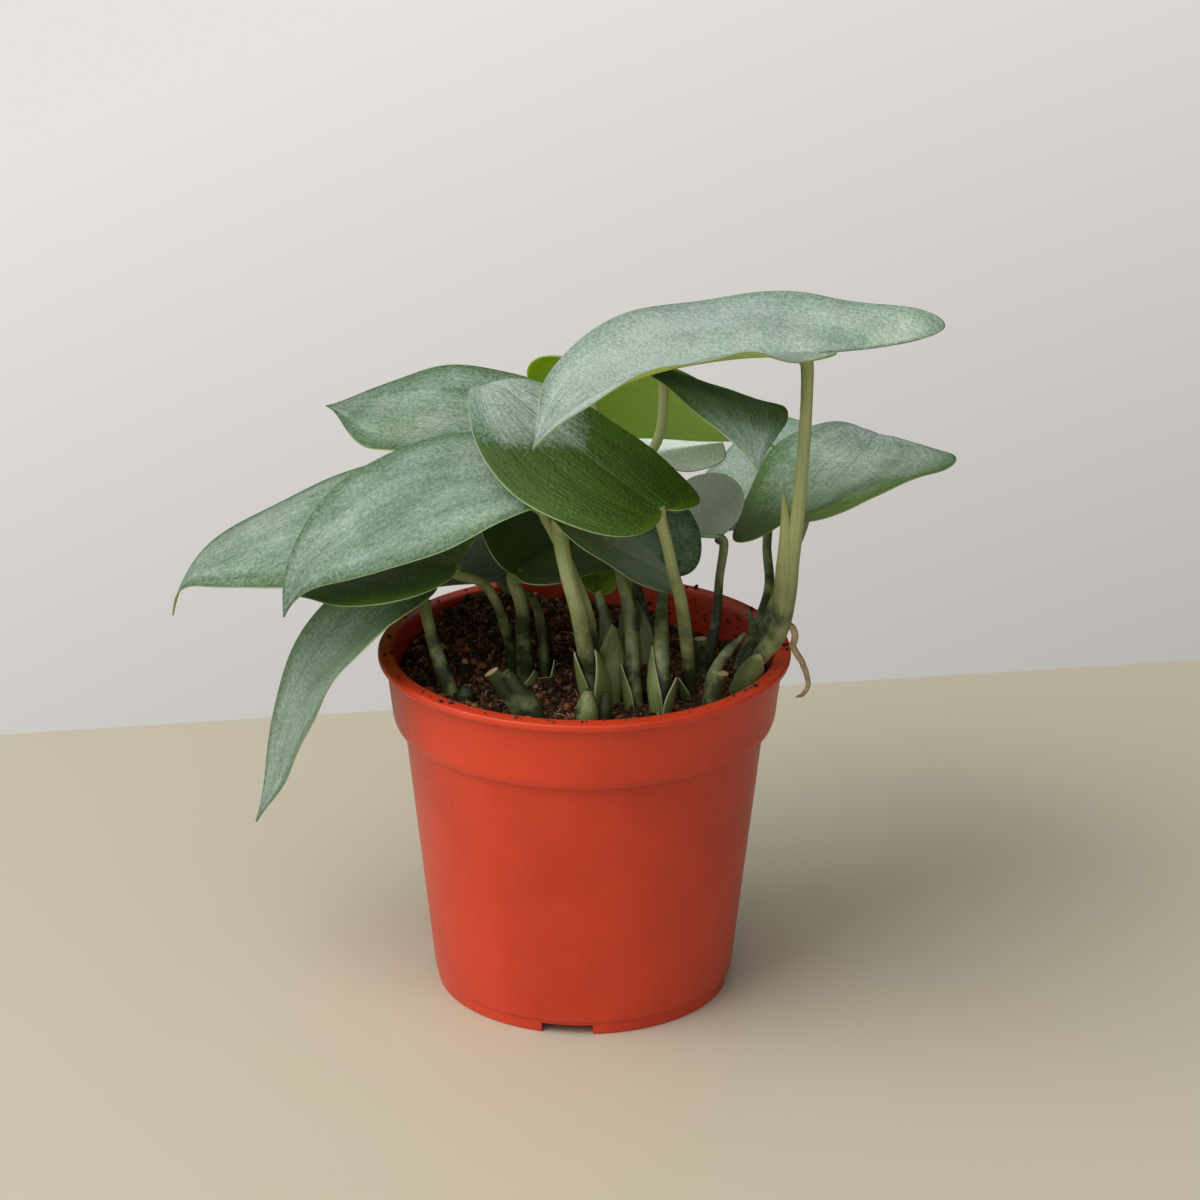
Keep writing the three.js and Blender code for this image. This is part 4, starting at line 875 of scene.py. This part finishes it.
def rolled(name, route, radii, shape):
    """A closed tube along the route. shape(angle, share) says how its section departs from round."""
    rows = (len(route) - 1) * PIECES + 2

    def place(across, along):
        row = np.rint(along * rows)
        share = np.clip((row - 1) / (rows - 2), 0, 1)
        centre, first, second = rings_along(route, share)
        radius = np.interp(share * (len(radii) - 1), np.arange(len(radii)), radii)
        radius = np.where((row == 0) | (row == rows), 0, radius)
        angle = (across + 1) * math.pi
        radius = radius * shape(angle, share)
        return (centre + first * (radius * np.cos(angle))[:, None]
                + second * (radius * np.sin(angle))[:, None])

    piece = shaped_grid(name, ROUND, rows, place)
    merge_and_turn_out()
    return piece


def sunk(route, radii):
    """The same route, begun a little way under the soil."""
    (x, y, z), (next_x, next_y, next_z) = route[0], route[1]
    lean = ROOT_LEAN * ROOT_DEPTH / (next_z - z)
    start = (x - (next_x - x) * lean, y - (next_y - y) * lean, z - ROOT_DEPTH)
    return [start, *route], [radii[0], *radii]


def petiole_section(angle, share):
    groove = np.exp(-(np.abs(angle - GROOVE_AT) / GROOVE_SPREAD) ** 2)
    return 1 + 0.05 * np.cos(2 * angle) - 0.08 * groove


STALK_GREEN = (0.32, 0.37, 0.13, 1)
STALK_PALE = (0.5, 0.54, 0.28, 1)
FOOT_GREEN = (0.025, 0.036, 0.009, 1)
FOOT_SPAN = (0.102, 0.15)     # metres above the floor over which the dark foot fades


def stalk_material():
    material, tree, shader = new_material("green stalk", 0.42)
    layout = add_node(tree, "ShaderNodeUVMap").outputs[0]
    spot = add_node(tree, "ShaderNodeTexCoord").outputs["Object"]
    height = add_node(tree, "ShaderNodeSeparateXYZ", {0: spot}).outputs["Z"]
    lines = math_node(tree, "MULTIPLY", streaked(tree, layout, 14, 3), 0.5)
    green = mix_colours(tree, lines, STALK_GREEN, STALK_PALE)
    foot = ranged(tree, height, *FOOT_SPAN, 1.0, 0.0)
    blotches = math_node(tree, "ADD", mottled(tree, spot, 120), 0.5)
    foot = math_node(tree, "MULTIPLY", foot, blotches, clamp=True)
    tree.links.new(mix_colours(tree, foot, green, FOOT_GREEN), shader.inputs["Base Color"])
    tree.links.new(bump_from(tree, streaked(tree, layout, 40, 6), 0.0001), shader.inputs["Normal"])
    return material


stalk_green = stalk_material()


def finish_stalk(piece, node):
    if not piece.data.materials:
        piece.data.materials.append(stalk_green)
    bpy.ops.object.select_all(action="DESELECT")
    piece.select_set(True)
    bpy.ops.object.shade_smooth_by_angle(angle=math.radians(STALK_SMOOTH))
    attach(piece, "root")
    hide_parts(node)


def as_one(pieces, name):
    bpy.ops.object.select_all(action="DESELECT")
    for piece in pieces:
        piece.select_set(True)
    bpy.context.view_layer.objects.active = pieces[0]
    if len(pieces) > 1:
        bpy.ops.object.join()
    pieces[0].name = name
    return pieces[0]


for leaf in LEAVES:
    stalk = STALKS[leaf["name"]]
    _, place, along, _, up = midrib_frames(leaf)
    reach = np.clip((np.array(stalk["route"][-1]) - place[0]) @ along[0], -1, 3)
    neck = place[0] - up[0] * stalk.get("neck", NECK) + along[0] * reach
    seat = place[0] + along[0] * SEAT - up[0] * SEAT_DEPTH
    route, radii = sunk(stalk["route"], stalk["radii"])
    throat = neck + (seat - neck) * THROAT
    route = [*route, tuple(neck), tuple(throat), tuple(seat)]
    flare = stalk.get("flare", FLARE)
    radii = [*radii, *(radii[-1] * wider for wider in (NECK_WIDTH, THROAT_WIDTH, flare))]
    tubes = [rolled("petiole", route, radii, petiole_section)]
    if leaf["name"] == "tongue":
        tubes.append(rolled("shoot", *sunk(**TALL_SHOOT), petiole_section))
    if leaf["name"] == "crown":
        tubes.append(rolled("clinging", CROWN_SHEATH["route"], CROWN_SHEATH["radii"], petiole_section))
    finish_stalk(as_one(tubes, f"{leaf['name']}_petiole"), f"{leaf['name']}_stalk")

# Sheaths. A papery sheath wraps the foot of many a stalk, opens along one side and ends in a pale
# point. Each is a thin strip that is bent round its stalk and follows it upwards.

# Start and end are shares of the stalk's route. A sheath faces the way given in degrees (-90 is to the
# front) and reaches so many degrees to both sides at its foot. It stands off the stalk by the bulge
# halfway up, and by the flare at its point.
SHEATHS = [
    dict(along="tongue", start=0.22, end=0.5, facing=-15, reach=80, bulge=2.2, flare=0),
    dict(along="tongue", start=0.22, end=0.49, facing=-165, reach=75, bulge=0.8, flare=0.4),
    dict(along="shoot", start=0.25, end=0.76, facing=-50, reach=130, bulge=1.1, flare=0.2),
    dict(along="folded", start=0.11, end=0.235, facing=-165, reach=70, bulge=0.5, flare=0.9),
    dict(along="pale", start=0.2, end=0.52, facing=-150, reach=110, bulge=0.8, flare=0.3),
    dict(along="grey", start=0.16, end=0.5, facing=-165, reach=80, bulge=1.1, flare=0),
    dict(along="grey", start=0.16, end=0.36, facing=-20, reach=65, bulge=0.6, flare=1.4),
    dict(along="centre", start=0.2, end=0.31, facing=-160, reach=70, bulge=0.6, flare=1.1),
    dict(along="low", start=0.2, end=0.46, facing=-30, reach=100, bulge=1.0, flare=0.3),
    dict(along="dark", start=0.2, end=0.48, facing=-10, reach=70, bulge=0.8, flare=1.2),
    dict(along="crown", start=0.1, end=0.3, facing=-120, reach=110, bulge=0.6, flare=0.3),
    dict(along="right", start=0.15, end=0.42, facing=-60, reach=100, bulge=0.8, flare=0.4),
]
SHEATH_THICK = 0.35
SHEATH_CELLS = (14, 16)
SHEATH_LOOSE, SHEATH_GAP = 1.1, 0.3  # how much wider than its stalk, as a share and in millimetres
SHEATH_GRAIN = 0.0002
SHEATH_GREEN = (0.09, 0.13, 0.03, 1)
SHEATH_PALE = (0.42, 0.44, 0.26, 1)


def sheath_material():
    material, tree, shader = new_material("sheath", 0.5)
    layout = add_node(tree, "ShaderNodeUVMap").outputs[0]
    from_middle, _, along = from_the_middle(tree, layout)
    edge = math_node(tree, "MULTIPLY", math_node(tree, "SUBTRACT", from_middle, 0.44), 16.0, clamp=True)
    point = math_node(tree, "MULTIPLY", math_node(tree, "SUBTRACT", along, 0.85), 6.0, clamp=True)
    lines = math_node(tree, "MULTIPLY", streaked(tree, layout, 30, 2), 0.5)
    green = mix_colours(tree, lines, SHEATH_GREEN, STALK_GREEN)
    pale = math_node(tree, "MAXIMUM", edge, point)
    tree.links.new(mix_colours(tree, pale, green, SHEATH_PALE), shader.inputs["Base Color"])
    tree.links.new(bump_from(tree, lines, SHEATH_GRAIN), shader.inputs["Normal"])
    return material


sheath_green = sheath_material()
for sheath in SHEATHS:
    stem = TALL_SHOOT if sheath["along"] == "shoot" else STALKS[sheath["along"]]
    route, radii = sunk(stem["route"], stem["radii"])

    def wrap(across, along):
        share = sheath["start"] + (sheath["end"] - sheath["start"]) * along
        radius = np.interp(share * (len(radii) - 1), np.arange(len(radii)), radii)
        radius = radius * SHEATH_LOOSE + SHEATH_GAP
        radius += sheath["bulge"] * np.sin(math.pi * along) + sheath["flare"] * along ** 2
        narrowing = (1 - along ** 2.2) ** 0.8 + 0.02
        angle = math.radians(sheath["facing"]) + math.radians(sheath["reach"]) * across * narrowing
        toward = np.stack([np.cos(angle), np.sin(angle), 0 * angle], -1)
        return smooth_line(route, share) + toward * radius[:, None]

    piece = shaped_grid(f"{sheath['along']}_sheath", *SHEATH_CELLS, wrap)
    wall = piece.modifiers.new("thickness", "SOLIDIFY")
    wall.thickness, wall.offset = SHEATH_THICK * MM, 0
    bpy.ops.object.modifier_apply(modifier=wall.name)
    bpy.ops.object.shade_smooth()
    piece.data.materials.append(sheath_green)
    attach(piece, "root")

# Old stubs, buds and scales stand at the feet of the shoots. The stubs were cut off, and the cut has
# dried to a tan face. Buds are blunt domes, and scales end in a thin point.
STUBS = {
    "front_stub": [
        dict(route=[(-18, -36.5, 98), (-22.5, -36.5, 105), (-26, -36.5, 110.5)],
             radii=[2.2, 2, 2], cut=True),
        dict(route=[(-14, -36.5, 97), (-18, -36.5, 104), (-22, -36.5, 110.5)], radii=[3.2, 2.6, 1.4])],
    "left_stub": [
        dict(route=[(-33.5, -26, 97), (-33.5, -26, 99.5), (-33.5, -26, 101.5)], radii=[2.3, 2.3, 1.4])],
    "back_stub": [
        dict(route=[(34, -6.5, 97), (34, -6.5, 103), (33.5, -6.5, 109)], radii=[2, 1.9, 1.8], cut=True)],
    "right_stub": [
        dict(route=[(36.5, -30, 97), (37.5, -30, 103), (38.5, -30, 108)], radii=[2.8, 2.6, 2.4], cut=True),
        dict(route=[(35, -28.5, 98), (36.5, -28, 106), (40.5, -27.5, 113), (45.5, -27.5, 119)],
             radii=[1.4, 1.7, 1.5, 0.4])],
    "crown_scale": [
        dict(route=[(48, -10.5, 97), (49.5, -11, 106), (48.5, -11.5, 113.5), (47, -11.5, 120)],
             radii=[2.2, 2, 1.4, 0.4])],
    "front_bud": [
        dict(route=[(1, -42.5, 96), (1, -42.5, 102), (1.5, -42.5, 107.5)], radii=[3.4, 3.2, 1.2]),
        dict(route=[(5, -41.5, 96), (6, -41, 101), (6.5, -40.5, 106)], radii=[2, 1.9, 0.9])],
}
CUT_TAN = (0.5, 0.36, 0.19, 1)
CUT_BROWN = (0.28, 0.19, 0.09, 1)
CUT_DEPTH = 0.0002            # metres: faces no further back than this belong to the cut
dry_cut, tree, shader = new_material("dry cut", 0.85)
spot = add_node(tree, "ShaderNodeTexCoord").outputs["Object"]
tree.links.new(mix_colours(tree, mottled(tree, spot, 900), CUT_BROWN, CUT_TAN), shader.inputs["Base Color"])


def rounded_stem(stem):
    tube = rolled("stem", *sunk(stem["route"], stem["radii"]), petiole_section)
    tube.data.materials.append(stalk_green)
    tube.data.materials.append(dry_cut)
    end = Vector(stem["route"][-1]) * MM
    ahead = (end - Vector(stem["route"][-2]) * MM).normalized()
    for face in tube.data.polygons:
        on_end = (face.center - end).dot(ahead) > -CUT_DEPTH and face.normal.dot(ahead) > 0.8
        if stem.get("cut") and on_end:
            face.material_index = 1
    return tube


for node, stems in STUBS.items():
    finish_stalk(as_one([rounded_stem(stem) for stem in stems], f"{node}_stem"), node)

# Aerial root. A thin tan root with a dry skin leaves the crown stem, turns in a small loop and hangs
# over the rim of the pot.
ROOT_ROUTE = [
    (54, -20, 118), (57.5, -20, 119), (59.5, -20.5, 117.5), (60, -21, 115), (59.5, -21, 112.5),
    (62, -21, 108), (63.5, -21, 104), (64, -21.5, 100.5), (62.5, -23, 98.5), (60.5, -26, 99),
]
ROOT_RADII = [1.1, 1.1, 1, 1, 1, 0.9, 0.8, 0.7, 0.6, 0.3]
ROOT_TAN = (0.42, 0.31, 0.17, 1)
ROOT_BROWN = (0.26, 0.17, 0.085, 1)
ROOT_KNOBS, KNOB_HEIGHT = 70, 0.06  # turns of the knobs, in radians, and their height as a share


def root_section(angle, share):
    return 1 + KNOB_HEIGHT * np.sin(share * ROOT_KNOBS + angle)


root = rolled("hanging_root", ROOT_ROUTE, ROOT_RADII, root_section)
root_skin, tree, shader = new_material("root skin", 0.75)
spot = add_node(tree, "ShaderNodeTexCoord").outputs["Object"]
skin_colour = mix_colours(tree, mottled(tree, spot, 400), ROOT_BROWN, ROOT_TAN)
tree.links.new(skin_colour, shader.inputs["Base Color"])
tree.links.new(bump_from(tree, mottled(tree, spot, 1400), 0.0002), shader.inputs["Normal"])
root.data.materials.append(root_skin)
bpy.ops.object.select_all(action="DESELECT")
root.select_set(True)
bpy.ops.object.shade_smooth()
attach(root, "root")
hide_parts("aerial_root")

# Floor, light and camera. The pot stands on a pale board that ends a little way behind it, in front
# of a light grey wall. A large soft light stands at the left, in front and above.
BOARD_TURN = math.radians(10)
BOARD_EDGE = (0.0, 0.213)     # a point on the back edge of the board
BOARD_SIZE = 4.0
BOARD_THICK = 0.03
BOARD_COLOUR = (0.52, 0.475, 0.365, 1)
bpy.ops.object.select_all(action="DESELECT")
bpy.ops.mesh.primitive_cube_add(size=1)
board = bpy.context.object
board.name = "board"
board.scale = (BOARD_SIZE, BOARD_SIZE, BOARD_THICK)
board.rotation_euler = (0, 0, BOARD_TURN)
board.location = (BOARD_EDGE[0] + math.sin(BOARD_TURN) * BOARD_SIZE / 2,
                  BOARD_EDGE[1] - math.cos(BOARD_TURN) * BOARD_SIZE / 2, -BOARD_THICK / 2)
varnish, tree, shader = new_material("board", 0.35, BOARD_COLOUR)
shader.inputs["Specular IOR Level"].default_value = 0.25
board.data.materials.append(varnish)

# The wall is drawn in the world with painted light: it is brighter at the upper left. All other rays meet
# a soft light that is strongest at the left, in front and above.
WALL_LIGHT = (0.8, 0.77, 0.74, 1)
WALL_DIM = (0.36, 0.34, 0.32, 1)
WALL_ACROSS, WALL_UP = -1.2, 3.1
WALL_LOWEST = 0.236
WALL_MIDDLE = 0.87
AMBIENT = 0.82
AMBIENT_WAYS = (("X", -0.75), ("Y", -0.45))
AMBIENT_UP, AMBIENT_EVEN = 0.55, 0.45
AMBIENT_COLOUR = (1, 0.99, 0.97, 1)
world = bpy.data.worlds.new("room")
bpy.context.scene.world = world
world.use_nodes = True
tree = world.node_tree
tree.nodes.clear()
toward = add_node(tree, "ShaderNodeTexCoord").outputs["Generated"]
direction = add_node(tree, "ShaderNodeSeparateXYZ", {0: toward})
falling = math_node(tree, "MULTIPLY", direction.outputs["X"], WALL_ACROSS)
rising = math_node(tree, "MULTIPLY", math_node(tree, "ADD", direction.outputs["Z"], WALL_LOWEST), WALL_UP)
brightness = math_node(tree, "ADD", math_node(tree, "ADD", falling, rising), WALL_MIDDLE, clamp=True)
seen = add_node(tree, "ShaderNodeBackground", {
    "Color": mix_colours(tree, brightness, WALL_DIM, WALL_LIGHT)})
fill = math_node(tree, "MULTIPLY", direction.outputs["Z"], AMBIENT_UP)
for part, share in AMBIENT_WAYS:
    fill = math_node(tree, "ADD", fill, math_node(tree, "MULTIPLY", direction.outputs[part], share))
fill = math_node(tree, "MULTIPLY", math_node(tree, "ADD", fill, AMBIENT_EVEN), AMBIENT)
cast = add_node(tree, "ShaderNodeBackground", {
    "Color": AMBIENT_COLOUR, "Strength": math_node(tree, "MAXIMUM", fill, 0.0)})
rays = add_node(tree, "ShaderNodeLightPath")
either = add_node(tree, "ShaderNodeMixShader", {
    0: rays.outputs["Is Camera Ray"], 1: cast.outputs[0], 2: seen.outputs[0]})
add_node(tree, "ShaderNodeOutputWorld", {"Surface": either.outputs[0]})

KEY_PLACE = Vector((-1.0, -0.6, 1.55))
KEY_AIM = Vector((0.0, 0.0, 0.12))
KEY_SIZE, KEY_POWER = 1.6, 26
bpy.ops.object.light_add(type="AREA", location=KEY_PLACE)
key = bpy.context.object
key.data.shape = "SQUARE"
key.data.size = KEY_SIZE
key.data.energy = KEY_POWER
key.rotation_euler = (KEY_AIM - KEY_PLACE).to_track_quat("-Z", "Y").to_euler()

CAMERA_PLACE = Vector((4.45, -1076.4, 530.4)) * MM
CAMERA_PITCH = math.radians(20.95)
CAMERA_ROLL = math.radians(0.27)
LENS, SENSOR = 119.5, 36
bpy.ops.object.camera_add()
camera = bpy.context.object
camera.data.lens = LENS
camera.data.sensor_width = SENSOR
camera.matrix_world = (
    Matrix.Translation(CAMERA_PLACE) @ Matrix.Rotation(math.pi / 2 - CAMERA_PITCH, 4, "X")
    @ Matrix.Rotation(CAMERA_ROLL, 4, "Z"))
bpy.context.scene.camera = camera
bpy.context.scene.view_settings.view_transform = "Standard"
